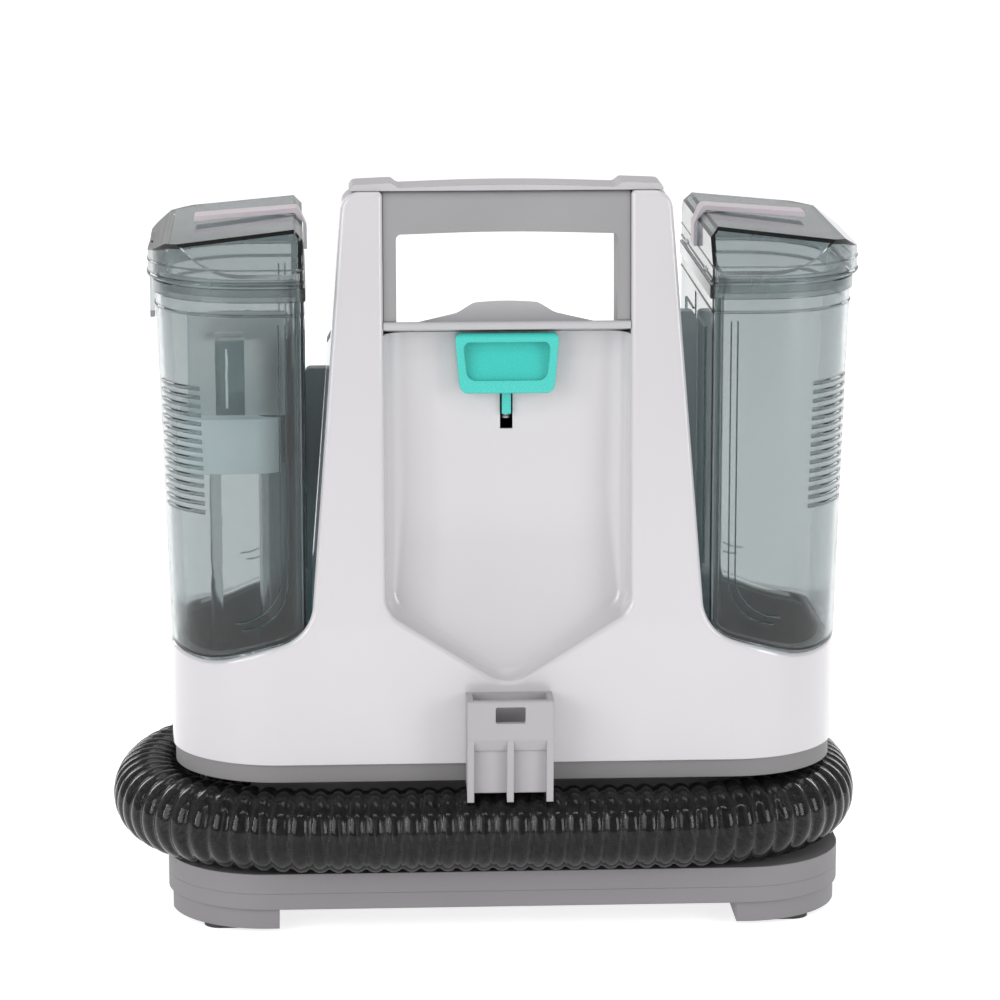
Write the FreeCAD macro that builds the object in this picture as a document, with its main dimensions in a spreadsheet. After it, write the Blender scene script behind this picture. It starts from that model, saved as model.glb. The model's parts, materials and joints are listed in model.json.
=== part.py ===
"""Carpet cleaner machine: a portable spot cleaner with two lift-off tanks.

Millimetres.  +Z is up, +X is to the right of someone facing the machine,
the front faces -Y, and the origin is on the floor below the middle.
The recovery tank (dirty water) docks on the left, the clean tank on the right.
"""
import FreeCAD, Part
import math
import os
import Sketcher

Vector = FreeCAD.Vector
doc = FreeCAD.newDocument("carpet_cleaner")

# ------------------------------------------------------------------ sizes
SIZES = {
    # base
    "tray_half_x": 167.0,
    "tray_half_y": 83.0,
    "tray_corner": 50.0,
    "foot_thick": 2.0,
    "foot_inner_x": 112.0,
    "plate_low": 12.0,
    "tray_split": 20.0,
    "shelf_top": 30.0,
    "neck_half_x": 126.0,
    "neck_half_y": 56.0,
    "neck_corner": 48.0,
    "neck_top": 75.0,
    "band_top": 84.0,
    "band_half_x": 162.6,
    "band_half_y": 78.6,
    # white body
    "body_half_x": 164.0,
    "body_half_y": 80.0,
    "body_corner": 54.0,
    "shell_wall": 2.5,
    "liner_wall": 1.6,
    "dock_floor": 98.5,
    "column_half_x": 94.4,
    "column_knee": 165.0,
    "leg_top_half_x": 78.6,
    "leg_top": 361.0,
    "front_lean_start": 150.0,
    "front_top_y": -64.5,
    "leg_back_y": -42.0,
    "deck_low": 294.4,
    "deck_drop": 28.0,
    "deck_thick": 4.0,
    "back_top_y": 66.0,
    "rim_outer_z": 141.0,
    "rim_low_x": 149.0,
    "rim_low_z": 131.5,
    "rim_inner_z": 147.7,
    "rim_fillet": 22.0,
    "recess_half_x": 59.4,
    "recess_corner_z": 159.1,
    "recess_apex_z": 121.3,
    # handle
    "handle_inner_x": 53.0,
    "handle_bar_low": 341.0,
    "handle_top": 365.2,
    "button_y": -28.0,
    "switch_top": 282.0,
    # tool latch and bracket
    "latch_half_x": 25.2,
    "latch_low": 263.5,
    "latch_high": 294.0,
    "bracket_half_x": 20.8,
    "bracket_front_y": -99.0,
    "bracket_low": 68.5,
    "bracket_high": 119.5,
    # tanks
    "tank_inner_x": 97.3,
    "tank_outer_x": 163.6,
    "tank_top_outer_x": 169.0,
    "tank_half_y": 79.4,
    "tank_corner": 46.0,
    "tank_wall": 2.2,
    "tank_bottom": 100.0,
    "tank_mouth": 318.0,
    "lid_half_x": 172.0,
    "lid_top": 343.0,
    # hose
    "hose_dia": 42.5,
    "hose_axis_z": 51.6,
    "port_x": 15.0,
    "port_y": 81.0,
    "port_radius": 18.0,
    # fan and motor
    "fan_y": 8.0,
    "fan_radius": 52.0,
    "motor_radius": 40.0,
    "shaft_radius": 4.0,
    "run_gap": 0.05,
}

sheet = doc.addObject("Spreadsheet::Sheet", "sizes")
for row, (alias, value) in enumerate(SIZES.items(), start=1):
    sheet.set(f"A{row}", alias)
    sheet.set(f"B{row}", str(value))
    sheet.setAlias(f"B{row}", alias)
doc.recompute()


class Size:
    """A number that remembers the sheet expression it came from."""

    def __init__(self, value, text=None):
        self.value = float(value)
        self.text = text if text else f"({value})"

    def _join(self, other, sign, value):
        return Size(value, f"({self.text} {sign} {as_size(other).text})")

    def __add__(self, other):
        return self._join(other, "+", self.value + as_size(other).value)

    def __sub__(self, other):
        return self._join(other, "-", self.value - as_size(other).value)

    def __mul__(self, other):
        return self._join(other, "*", self.value * as_size(other).value)

    def __truediv__(self, other):
        return self._join(other, "/", self.value / as_size(other).value)

    def __neg__(self):
        return Size(-self.value, f"(0 - {self.text})")

    def __radd__(self, other):
        return as_size(other) + self

    def __rsub__(self, other):
        return as_size(other) - self


def as_size(thing):
    return thing if isinstance(thing, Size) else Size(thing)


def size(alias):
    return Size(getattr(sheet, alias), f"sizes.{alias}")


def mm(alias):
    """The plain value of a cell, for shapes worked out in code."""
    return float(getattr(sheet, alias))


def bind(obj, prop, amount):
    """Binds a property of an object to a sheet expression."""
    obj.setExpression(prop, as_size(amount).text)


# ------------------------------------------------------------ object makers
NODES = {}


def node(obj, label):
    """Keeps an object as a sub-part of its own, to be written as a file."""
    obj.Label = label
    NODES[label] = obj
    return obj


def box(name, x, y, z):
    obj = doc.addObject("Part::Box", name)
    for prop, (low, high) in (("Length", x), ("Width", y), ("Height", z)):
        bind(obj, prop, as_size(high) - as_size(low))
    for axis, (low, _) in (("x", x), ("y", y), ("z", z)):
        bind(obj, f"Placement.Base.{axis}", low)
    return obj


TURNS = {
    "z": FreeCAD.Rotation(),
    "x": FreeCAD.Rotation(Vector(0, 1, 0), 90),
    "y": FreeCAD.Rotation(Vector(1, 0, 0), -90),
}


def turned(obj, at, axis):
    """Points a primitive along an axis and binds its place."""
    obj.Placement = FreeCAD.Placement(Vector(), TURNS[axis])
    for name, amount in zip("xyz", at):
        bind(obj, f"Placement.Base.{name}", amount)
    return obj


def cylinder(name, radius, length, at, axis="z"):
    obj = doc.addObject("Part::Cylinder", name)
    bind(obj, "Radius", radius)
    bind(obj, "Height", length)
    return turned(obj, at, axis)


def ring(name, outer, inner, length, at, axis="z"):
    """A tube: one cylinder with another cut from it."""
    solid = cylinder(name + "_outer", outer, length, at, axis)
    hole = cylinder(name + "_inner", inner, length, at, axis)
    return cut(name, solid, hole)


def torus(name, radius, section, at):
    obj = doc.addObject("Part::Torus", name)
    bind(obj, "Radius1", radius)
    bind(obj, "Radius2", section)
    return turned(obj, at, "z")


def fuse(name, *parts):
    obj = doc.addObject("Part::MultiFuse", name)
    obj.Shapes = list(parts)
    obj.Refine = True
    return obj


def cut(name, base, *tools):
    tool = tools[0] if len(tools) == 1 else fuse(name + "_tools", *tools)
    obj = doc.addObject("Part::Cut", name)
    obj.Base = base
    obj.Tool = tool
    obj.Refine = True
    return obj


def common(name, *parts):
    obj = doc.addObject("Part::MultiCommon", name)
    obj.Shapes = list(parts)
    obj.Refine = True
    return obj


def group(name, *parts):
    """Several separate solids kept as one sub-part."""
    obj = doc.addObject("Part::Compound", name)
    obj.Links = list(parts)
    return obj


def feature(name, shape):
    obj = doc.addObject("Part::Feature", name)
    obj.Shape = shape
    return obj


PLANES = {"xy": "XY_Plane", "xz": "XZ_Plane", "yz": "YZ_Plane"}


def pad(name, plane, corners, low, high, radius=None):
    """A body: a many-cornered sketch, padded, with its corners rounded."""
    body = doc.addObject("PartDesign::Body", name)
    sketch = body.newObject("Sketcher::SketchObject", name + "_sketch")
    origin = [o for o in body.Origin.OriginFeatures if o.Role == PLANES[plane]]
    sketch.AttachmentSupport = [(origin[0], "")]
    sketch.MapMode = "FlatFace"
    points = [(as_size(a), as_size(b)) for a, b in corners]
    count = len(points)
    for i, (a, b) in enumerate(points):
        c, d = points[(i + 1) % count]
        start = Vector(a.value, b.value, 0)
        end = Vector(c.value, d.value, 0)
        sketch.addGeometry(Part.LineSegment(start, end))
    for i, (a, b) in enumerate(points):
        following = (i + 1) % count
        sketch.addConstraint(Sketcher.Constraint("Coincident", i, 2, following, 1))
        for kind, amount in (("DistanceX", a), ("DistanceY", b)):
            number = sketch.addConstraint(Sketcher.Constraint(kind, -1, 1, i, 1, amount.value))
            sketch.setExpression(f"Constraints[{number}]", amount.text)
    feature_pad = body.newObject("PartDesign::Pad", name + "_pad")
    feature_pad.Profile = sketch
    length = as_size(high) - as_size(low)
    feature_pad.Length = length.value
    bind(feature_pad, "Length", length)
    along = {"xy": ("z", low), "xz": ("y", high), "yz": ("x", low)}[plane]
    bind(body, f"Placement.Base.{along[0]}", along[1])
    if radius is not None:
        doc.recompute()
        fillet = body.newObject("PartDesign::Fillet", name + "_fillet")
        fillet.Base = (feature_pad, long_edges(feature_pad, length.value))
        fillet.Radius = as_size(radius).value
        bind(fillet, "Radius", radius)
    return body


def long_edges(pad_feature, length):
    """Names of the pad's own edges that run along its direction."""
    direction = {"XY_Plane": 2, "XZ_Plane": 1, "YZ_Plane": 0}
    role = pad_feature.Profile[0].AttachmentSupport[0][0].Role
    names = []
    for number, edge in enumerate(pad_feature.Shape.Edges, start=1):
        span = edge.BoundBox
        extent = (span.XLength, span.YLength, span.ZLength)[direction[role]]
        if abs(extent - length) < 1e-6 and abs(edge.Length - length) < 1e-6:
            names.append(f"Edge{number}")
    return names


def slab(name, half_x, half_y, corner, low, high, middle_x=0.0, middle_y=0.0):
    """A flat block with round corners in plan."""
    left, right = middle_x - as_size(half_x), middle_x + as_size(half_x)
    front, back = middle_y - as_size(half_y), middle_y + as_size(half_y)
    corners = [(left, front), (right, front), (right, back), (left, back)]
    return pad(name, "xy", corners, low, high, corner)


# ------------------------------------------------------- shapes made in code
def rounded_wire(corners, place):
    """Straight runs joined by tangent arcs; corners are (a, b, radius)."""
    points = [Vector(a, b, 0) for a, b, _ in corners]
    count = len(points)
    arcs = []
    for i, (_, _, radius) in enumerate(corners):
        before = (points[i - 1] - points[i]).normalize()
        after = (points[(i + 1) % count] - points[i]).normalize()
        if radius == 0:
            arcs.append((points[i], None, points[i]))
            continue
        half = before.getAngle(after) / 2
        reach = radius / math.tan(half)
        middle_way = (before + after).normalize()
        centre = points[i] + middle_way * (radius / math.sin(half))
        middle = centre - middle_way * radius
        arcs.append((points[i] + before * reach, middle, points[i] + after * reach))
    edges = []
    for i, (start, middle, end) in enumerate(arcs):
        if middle is not None:
            edges.append(Part.Arc(place(start), place(middle), place(end)).toShape())
        following = arcs[(i + 1) % count][0]
        if (following - end).Length > 1e-6:
            edges.append(Part.LineSegment(place(end), place(following)).toShape())
    return Part.Wire(edges)


def prism(plane, corners, low, high):
    """A straight block whose outline is given in one of the main planes."""
    length = high - low
    if plane == "xy":
        place, way = (lambda p: Vector(p.x, p.y, low)), Vector(0, 0, length)
    elif plane == "xz":
        place, way = (lambda p: Vector(p.x, low, p.y)), Vector(0, length, 0)
    else:
        place, way = (lambda p: Vector(low, p.x, p.y)), Vector(length, 0, 0)
    return Part.Face(rounded_wire(corners, place)).extrude(way)


def block(x, y, z):
    corner = Vector(x[0], y[0], z[0])
    return Part.makeBox(x[1] - x[0], y[1] - y[0], z[1] - z[0], corner)


def mirrored(shape):
    """The same shape on the other side of the machine."""
    return shape.mirror(Vector(0, 0, 0), Vector(1, 0, 0))


def plan(half_x, half_y, corner, low, high):
    """A block with the rounded plan of the lower body."""
    corners = [(-half_x, -half_y, corner), (half_x, -half_y, corner)]
    corners += [(half_x, half_y, corner), (-half_x, half_y, corner)]
    return prism("xy", corners, low, high)


def body_plan(inset, low, high):
    return plan(mm("body_half_x") - inset, mm("body_half_y") - inset,
                mm("body_corner") - inset, low, high)


def both_sides(right_half):
    """A closed outline from its right-hand half, listed from bottom to top."""
    left_half = [(-a, b, r) for a, b, r in reversed(right_half) if a != 0]
    return list(right_half) + left_half


# --------------------------------------------------------------- white body
COLUMN_LEAN = (mm("column_half_x") - mm("leg_top_half_x")) / (mm("leg_top") - mm("column_knee"))


def column_half(z):
    """Half-width of the column at a height: upright, then leaning in."""
    return mm("column_half_x") - COLUMN_LEAN * max(0.0, z - mm("column_knee"))


def rim_silhouette(low, top):
    """Front view of the white body: base, swept rim and leaning column."""
    outside = mm("body_half_x") + 6.0
    right_half = [
        (outside, low, 0),
        (outside, mm("rim_outer_z"), 0),
        (mm("rim_low_x"), mm("rim_low_z"), 40.0),
        (column_half(mm("rim_inner_z")) + 1.0, mm("rim_inner_z"), mm("rim_fillet")),
        (column_half(top), top, 9.0),
    ]
    return both_sides(right_half)


def deck_line(y):
    """Height of the body's top, which slopes down from front to back."""
    front, back = mm("front_top_y"), mm("back_top_y")
    return mm("deck_low") - mm("deck_drop") * (y - front) / (back - front)


def above_deck(half_x, rise):
    """All that lies above the sloping top, as wide as asked."""
    front, back, sky = -120.0, 100.0, mm("leg_top") + 20.0
    outline = [(front, deck_line(front) + rise, 0), (back, deck_line(back) + rise, 0)]
    outline += [(back, sky, 0), (front, sky, 0)]
    return prism("yz", outline, -half_x, half_x)


def body_profile(inset, low, leg_top, rise):
    """Side view of the white body: (y, z) with both faces leaning in."""
    front, back = -mm("body_half_y") + inset, mm("body_half_y") - inset
    knee = mm("front_lean_start")
    leg_back, back_top = mm("leg_back_y") - inset, mm("back_top_y") - inset
    return [
        (front, low, 0),
        (front, knee, 90.0),
        (mm("front_top_y") + inset, leg_top, 0),
        (leg_back, leg_top, 0),
        (leg_back, deck_line(leg_back) + rise, 0),
        (back_top, deck_line(back_top) + rise, 8.0),
        (back, knee, 90.0),
        (back, low, 0),
    ]


def recess_outline(shrink, top):
    """Front opening: upright sides running into a rounded V."""
    slope = math.atan2(mm("recess_corner_z") - mm("recess_apex_z"), mm("recess_half_x"))
    half = mm("recess_half_x") - shrink
    drop = shrink / math.cos(slope)
    right_half = [
        (0, mm("recess_apex_z") + drop, 18.0),
        (half, mm("recess_corner_z") + drop - shrink * math.tan(slope), 14.0),
        (half, top, 0),
    ]
    return both_sides(right_half)


def white_solid():
    """Outside of the white body, with the front recess taken out of it."""
    low, top = mm("band_top"), mm("leg_top")
    solid = body_plan(0, low, top + 5)
    solid = solid.common(prism("xz", rim_silhouette(low, top), -100, 100))
    solid = solid.common(prism("yz", body_profile(0, low, top, 0), -180, 180))
    recess = prism("xz", recess_outline(0, top + 20), -100, -54)
    return solid.cut(recess).cut(above_deck(mm("recess_half_x"), 0))


def rounded_shell_edges(solid, radius):
    """Rounds the long front and back edges of the rim, column and recess."""
    chosen = []
    for edge in solid.Edges:
        span = edge.BoundBox
        low_enough = span.ZMax <= mm("leg_top") + 0.1
        on_face = abs(span.Center.y) > 55 and span.YLength < 16.5
        above_base = span.ZMin > mm("band_top") + 20
        if low_enough and on_face and above_base and edge.Length > 5:
            chosen.append(edge)
    return solid.makeFillet(radius, chosen)


def white_voids():
    """Everything hollow in the white body: column, legs and both docks."""
    wall, low, top = mm("shell_wall"), mm("band_top"), mm("leg_top")
    inner = [(column_half(low) - wall, low - 1, 0), (column_half(low) - wall, mm("column_knee"), 0)]
    inner.append((column_half(top) - wall, top - wall, 0))
    column = body_plan(wall, low - 1, top)
    column = column.common(prism("xz", both_sides(inner), -100, 100))
    profile = body_profile(wall, low - 1, top - wall, 1.0)
    column = column.common(prism("yz", profile, -180, 180))
    column = column.cut(above_deck(mm("recess_half_x") + wall, 0.5))
    corner_keep = prism("xz", recess_outline(-wall, top), -100, -54 + wall)
    column = column.cut(corner_keep)
    dock = body_plan(wall, low - 1, 220)
    dock_side = block((mm("column_half_x"), 200), (-100, 100), (low - 2, 230))
    right = dock.common(dock_side)
    return [column, right, mirrored(right)]


def white_shells():
    """Front and rear shells, meeting on an upright seam."""
    seam = 20.0
    shell = rounded_shell_edges(white_solid(), 2.3)
    for void in white_voids():
        shell = shell.cut(void)
    opening = prism("xz", recess_outline(0.0, mm("deck_low") + 1), -100, -40)
    shell = shell.cut(opening)
    front = shell.common(block((-200, 200), (-120, seam), (0, 400)))
    rear = shell.common(block((-200, 200), (seam, 120), (0, 400)))
    grille = block((-34, 34), (40, 120), (206, 250))
    gland = Part.makeCylinder(6.2, 60, Vector(60, 40, 100), Vector(0, 1, 0))
    node(feature("front_shell", front), "front_shell")
    node(feature("rear_shell", rear.cut(grille).cut(gland)), "rear_shell")



# --------------------------------------------------------------------- base
PORTS = {"dirty": (-110.0, 22.0), "suction": (-110.0, -22.0)}


def base_parts():
    half_x, half_y, corner = size("tray_half_x"), size("tray_half_y"), size("tray_corner")
    foot, low, split, top = (size(k) for k in ("foot_thick", "plate_low", "tray_split", "shelf_top"))
    wall = 3.0
    pan = slab("pan", half_x, half_y, corner, low, split)
    pan_room = slab("pan_room", half_x - wall, half_y - wall, corner - wall, low + wall, split + 1)
    leg_plan = slab("leg_plan", half_x - 1.5, half_y - 1.5, corner - 1.5, foot, low + 0.5)
    inner_x = size("foot_inner_x")
    sides = [box("leg_right", (inner_x, half_x), (-half_y, half_y), (foot, low + 0.5)),
             box("leg_left", (-half_x, -inner_x), (-half_y, half_y), (foot, low + 0.5))]
    legs = common("legs", leg_plan, fuse("leg_sides", *sides))
    gap = box("leg_gap", (-half_x, half_x), (-42, 42), (0, low))
    plate = fuse("plate", cut("pan_open", pan, pan_room), cut("leg_pads", legs, gap))
    node(plate, "base_plate")

    tray = slab("tray", half_x, half_y, corner, split, top)
    under = slab("tray_under", half_x - wall, half_y - wall, corner - wall, split - 1, top - wall)
    middle = slab("tray_middle", size("neck_half_x") - 6, size("neck_half_y") - 6,
                  size("neck_corner") - 6, split, top + 1)
    node(cut("tray_shell", tray, under, middle), "base_tray")

    feet = []
    for side in (-1, 1):
        for end in (-1, 1):
            name = f"foot_{'r' if side > 0 else 'l'}{'b' if end > 0 else 'f'}"
            feet.append(slab(name, 15, 11, 8, 0, foot, side * 134.0, end * 62.0))
    node(group("feet", *feet), "rubber_feet")

    neck_x, neck_y, neck_corner = (size(k) for k in ("neck_half_x", "neck_half_y", "neck_corner"))
    neck = slab("neck", neck_x, neck_y, neck_corner, top, size("neck_top"))
    room = slab("neck_room", neck_x - 2.5, neck_y - 2.5, neck_corner - 2.5, top - 1, size("neck_top") + 1)
    port_at = (size("port_x"), 45, size("hose_axis_z"))
    port = cylinder("neck_port", size("port_radius") + 0.2, 20, port_at, "y")
    node(cut("neck_tube", neck, room, port), "neck_wall")

    band_x, band_y = size("band_half_x"), size("band_half_y")
    band = slab("band", band_x, band_y, 52, size("neck_top"), size("band_top"))
    above = slab("band_above", band_x - 2.5, band_y - 2.5, 49.5, size("neck_top") + 3, size("band_top") + 1)
    middle = slab("band_middle", 88, 48, 20, size("neck_top") - 1, size("neck_top") + 4)
    holes = []
    for name, (x, y) in PORTS.items():
        holes.append(cylinder("band_hole_" + name, 11.5, 6, (x, y, size("neck_top") - 1)))
    holes.append(cylinder("band_hole_water", 11.5, 6, (120, 0, size("neck_top") - 1)))
    node(cut("band_plate", band, above, middle, *holes), "chassis_rim")


def dock_liners():
    """Cups that the tanks drop into, below the swept rim."""
    gap, wall = 0.2, mm("liner_wall")
    outer_inset = mm("shell_wall") + gap
    floor = mm("dock_floor")
    near = mm("column_half_x") + gap
    ceiling = prism("xz", [(a, b - 2.0, r) for a, b, r in rim_silhouette(60.0, 300.0)], -100, 100)
    low_side = block((near, 200), (-100, 100), (floor - 2.0, 138.0))
    cup = body_plan(outer_inset, floor - 2.0, 220).common(low_side).common(ceiling)
    room = body_plan(outer_inset + wall, floor, 230)
    room = room.common(block((near + wall, 200), (-100, 100), (floor, 240)))
    cup = cup.cut(room)
    base = mm("neck_top") + 3.0
    for y in (-52.0, 50.0):
        cup = cup.fuse(block((near + 4, 148), (y, y + 2.0), (base, floor - 1.0)))
    cup = cup.fuse(block((136.0, 138.0), (-60.0, 60.0), (base, floor - 1.0))).removeSplitter()
    left = mirrored(cup)
    for x, y in PORTS.values():
        left = left.cut(Part.makeCylinder(10.2, 10, Vector(x, y, floor - 5)))
    right = cup.cut(Part.makeCylinder(19.2, 10, Vector(128.0, 0, floor - 5)))
    right = right.cut(Part.makeCylinder(22.3, floor - 2.0 - base, Vector(128.0, 0, base)))
    node(feature("left_liner", left), "left_dock_liner")
    node(feature("right_liner", right), "right_dock_liner")


# ----------------------------------------------------------- front and top
PANEL_FRONT = [(-70.0, 122.0), (-62.5, 170.0), (-59.5, 200.0), (-57.5, 245.0), (-55.5, 300.0)]


def recess_panel():
    """Tub that closes the front recess, with the groove for the latch stem."""
    deck, wall = mm("deck_low"), 1.8
    skin = [(y, z, 0) for y, z in PANEL_FRONT] + [(y + 2.2, z, 0) for y, z in reversed(PANEL_FRONT)]
    outline = recess_outline(0.25, deck)
    plate = prism("xz", outline, -100, 0).common(prism("yz", skin, -90, 90))
    tube = prism("xz", outline, -100, 0).cut(prism("xz", recess_outline(0.25 + wall, deck + 1), -101, 1))
    front_y, back_y = -mm("body_half_y") + 5.0, mm("front_top_y") + 4.5
    sweep = [(front_y, 100, 0), (front_y, mm("front_lean_start"), 60.0), (back_y + 3.0, 300, 0)]
    sweep += [(y + 2.2, z, 0) for y, z in reversed(PANEL_FRONT)]
    tube = tube.common(prism("yz", sweep, -90, 90))
    panel = plate.fuse(tube).removeSplitter()
    groove = block((-3.0, 3.0), (-62, -54.8), (245.0, 268.0))
    window = block((-14.0, 14.0), (-62, -40), (268.0, 289.0))
    panel = panel.cut(groove).cut(window).common(block((-90, 90), (-100, 0), (100, deck)))
    panel = panel.cut(above_deck(90, -0.2))
    node(feature("panel", panel), "recess_panel")


def on_slope(edge, rise):
    """Whether an edge lies in the plane a given way above the deck's line."""
    points = edge.discretize(5)
    return all(abs(p.z - deck_line(p.y) - rise) < 1e-3 for p in points)


def deck_plate():
    """Sloping cover on the body, notched round the back of the legs."""
    thick, front, back = mm("deck_thick"), -68.5, mm("back_top_y") - 1.0
    half = column_half(deck_line(back)) - 0.5
    corners = [(-half, front, 3.0), (half, front, 3.0), (half, back, 22.0), (-half, back, 22.0)]
    ends = (front - 5, back + 5)
    skin = [(y, deck_line(y), 0) for y in ends] + [(y, deck_line(y) + thick, 0) for y in reversed(ends)]
    low, high = mm("column_knee"), mm("leg_top")
    sides = [(column_half(low) - 0.5, low, 0), (column_half(high) - 0.5, high, 0)]
    plate = prism("xy", corners, low, high).common(prism("yz", skin, -100, 100))
    plate = plate.common(prism("xz", both_sides(sides), -100, 100))
    plate = plate.makeFillet(1.6, [edge for edge in plate.Edges if on_slope(edge, thick)])
    leg = block((mm("recess_half_x") - 0.1, 200), (-100, mm("leg_back_y") + 0.4), (low, high))
    return plate.cut(leg).cut(mirrored(leg))


def deck_hump():
    """Low bell-shaped rise behind the front edge, following the slope."""
    wires = []
    for y in (-54.0, -8.0):
        foot = deck_line(y) + mm("deck_thick")
        right_half = [(45.0, foot - 2.0, 0), (45.0, foot, 0), (23.5, foot + 5.0, 10.0),
                      (15.5, foot + 10.0, 8.0), (0, foot + 11.0, 120.0)]
        wires.append(rounded_wire(both_sides(right_half), lambda p, y=y: Vector(p.x, y, p.y)))
    return Part.makeLoft(wires, True, True)


def deck_and_handle():
    """Grey top cover with its low hump, and the grip between the legs."""
    well = Part.makeCylinder(11.3, 90, Vector(0, mm("button_y"), 230))
    deck = deck_plate().fuse(deck_hump()).removeSplitter().cut(well)
    node(feature("deck", deck), "deck_cover")

    inner, outer = mm("handle_inner_x"), mm("recess_half_x") - 0.2
    bar_low, bar_top = mm("handle_bar_low"), mm("leg_top") + 0.2
    above = mm("deck_thick") + 0.2
    side = [(-66.4, deck_line(-66.4) + above, 0), (-62.0, bar_top, 5.0),
            (-38.5, bar_top, 5.0), (-42.0, deck_line(-42.0) + above, 0)]
    frame = prism("yz", side, -outer, outer)
    below = deck_line(mm("back_top_y"))
    opening = [(inner, below, 0), (inner, bar_low - 0.6, 2.5), (0, bar_low + 1.0, 900.0)]
    frame = frame.cut(prism("xz", both_sides(opening), -100, 0))
    node(feature("handle_u", frame), "handle_frame")

    cap_half, top = mm("leg_top_half_x") - 3.6, mm("handle_top")
    crown_line = [(cap_half, bar_top, 0), (cap_half - 1.0, top - 0.8, 3.0), (55.0, top, 2.5),
                  (52.0, bar_top + 1.6, 3.0), (0, bar_top + 3.4, 900.0)]
    cover = prism("xz", both_sides(crown_line), -62.5, -39.5)
    node(feature("handle_cover", cover), "handle_top_cover")


def tool_holder():
    """Bracket at the front foot of the column, and the sprung latch."""
    half, front = mm("bracket_half_x"), mm("bracket_front_y")
    low, high, back = mm("bracket_low"), mm("bracket_high"), -mm("body_half_y")
    body_low = 100.5
    side = [(back, body_low - 14, 0), (front + 3, body_low - 6, 0), (front, body_low, 0),
            (front, high, 1.5), (back, high, 0)]
    top = prism("yz", side, -half, half)
    rib_side = [(back, low + 6.3, 0), (front + 12.5, low + 6.0, 0), (front + 4.0, low + 0.7, 0),
                (front + 2.8, low + 0.1, 0), (front, body_low + 3, 0), (back, body_low + 3, 0)]
    pocket = block((-half + 3, half - 3), (front + 3.3, back - 2.5), (body_low + 1.5, high + 1))
    solid = top.cut(pocket)
    for middle in (-half + 1.65, 0.0, half - 1.65):
        solid = solid.fuse(prism("yz", rib_side, middle - 1.65, middle + 1.65))
    panel_side = [(back, low + 7.5, 0), (front + 10.5, low + 7.0, 0), (front + 6.0, low + 4.0, 0),
                  (front + 3.5, body_low + 3, 0), (back, body_low + 3, 0)]
    solid = solid.fuse(prism("yz", panel_side, -half + 1, half - 1))
    slot_low, slot_high = high - 10.9, high - 2.9
    slot = [(-7.2, slot_low, 1.0), (7.2, slot_low, 1.0), (7.2, slot_high, 1.0), (-7.2, slot_high, 1.0)]
    solid = solid.cut(prism("xz", slot, front - 1, front + 5)).removeSplitter()
    node(feature("bracket", solid), "tool_bracket")

    half, low, high = mm("latch_half_x"), mm("latch_low"), mm("latch_high")
    brow = high - 0.6
    face = [(-half + 2.6, low, 5.0), (half - 2.6, low, 5.0), (half, brow, 4.0), (-half, brow, 4.0)]
    side = [(-58.6, low, 0), (-66.5, low, 1.5), (-66.0, brow, 2.0), (-57.4, high - 2.6, 0)]
    plate = prism("xz", face, -80, -40).common(prism("yz", side, -40, 40))
    scoop_face = [(-half + 6, low + 6.5, 5.0), (half - 6, low + 6.5, 5.0),
                  (half - 4, high - 5, 4.0), (-half + 4, high - 5, 4.0)]
    scoop_side = [(-70, low + 6, 0), (-64.2, low + 6.5, 0), (-60.5, high - 6, 0), (-70, high - 5, 0)]
    plate = plate.cut(prism("xz", scoop_face, -80, -40).common(prism("yz", scoop_side, -40, 40)))
    stem = block((-2.2, 2.2), (-59.4, -56.0), (252.5, low + 1))
    shank = block((-10.0, 10.0), (-58.8, -47.0), (270.5 + 4.0, 284.5))
    node(feature("latch", plate.fuse(stem).fuse(shank).removeSplitter()), "tool_latch")


def guides():
    """Upright rails outside the column that the tanks slide along."""
    for side, y, top, name in ((-1, 0.0, 266.0, "left"), (1, 0.0, 293.0, "right")):
        outline = [(101.2, 139.0, 0), (101.2, top - 12, 0), (95.5, top, 2.5), (column_half(top), top, 0),
                   (column_half(165.0), 165.0, 0), (column_half(139.0), 139.0, 0)]
        rail = prism("xz", outline, y - 4.5, y + 4.5)
        rail = mirrored(rail) if side < 0 else rail
        node(feature(name + "_rail", rail), name + "_guide_rail")


# -------------------------------------------------------------------- tanks
def tank_wire(inset, outer_x, z):
    """D-shaped plan of a tank: flat inner side, big round outer corners."""
    near, far = mm("tank_inner_x") + inset, outer_x - inset
    half, corner = mm("tank_half_y") - inset, mm("tank_corner") - inset
    corners = [(near, -half, 4.0), (far, -half, corner), (far, half, corner), (near, half, 4.0)]
    return rounded_wire(corners, lambda p: Vector(p.x, p.y, z))


def tank_upper(inset, low):
    """Upper part of a tank, wider towards its mouth."""
    span = mm("tank_top_outer_x") - mm("tank_outer_x")
    mouth = mm("tank_mouth")
    wires = []
    for z in (low, mouth + (1.0 if inset else 0.0)):
        wires.append(tank_wire(inset, mm("tank_outer_x") + span * (z - 140.0) / (mouth - 140.0), z))
    return Part.makeLoft(wires, True, True)


def above_rim(clear):
    outline = [(a, b + clear, r) for a, b, r in rim_silhouette(60.0, 420.0)]
    outline[0] = (outline[0][0], 60.0, 0)
    outline[-1] = (outline[-1][0], 60.0, 0)
    under = prism("xz", outline, -100, 100)
    inner_keep = block((mm("tank_inner_x") - 0.1, 104.0), (-74.0, 74.0), (60, 420))
    return under.cut(inner_keep)


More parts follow.
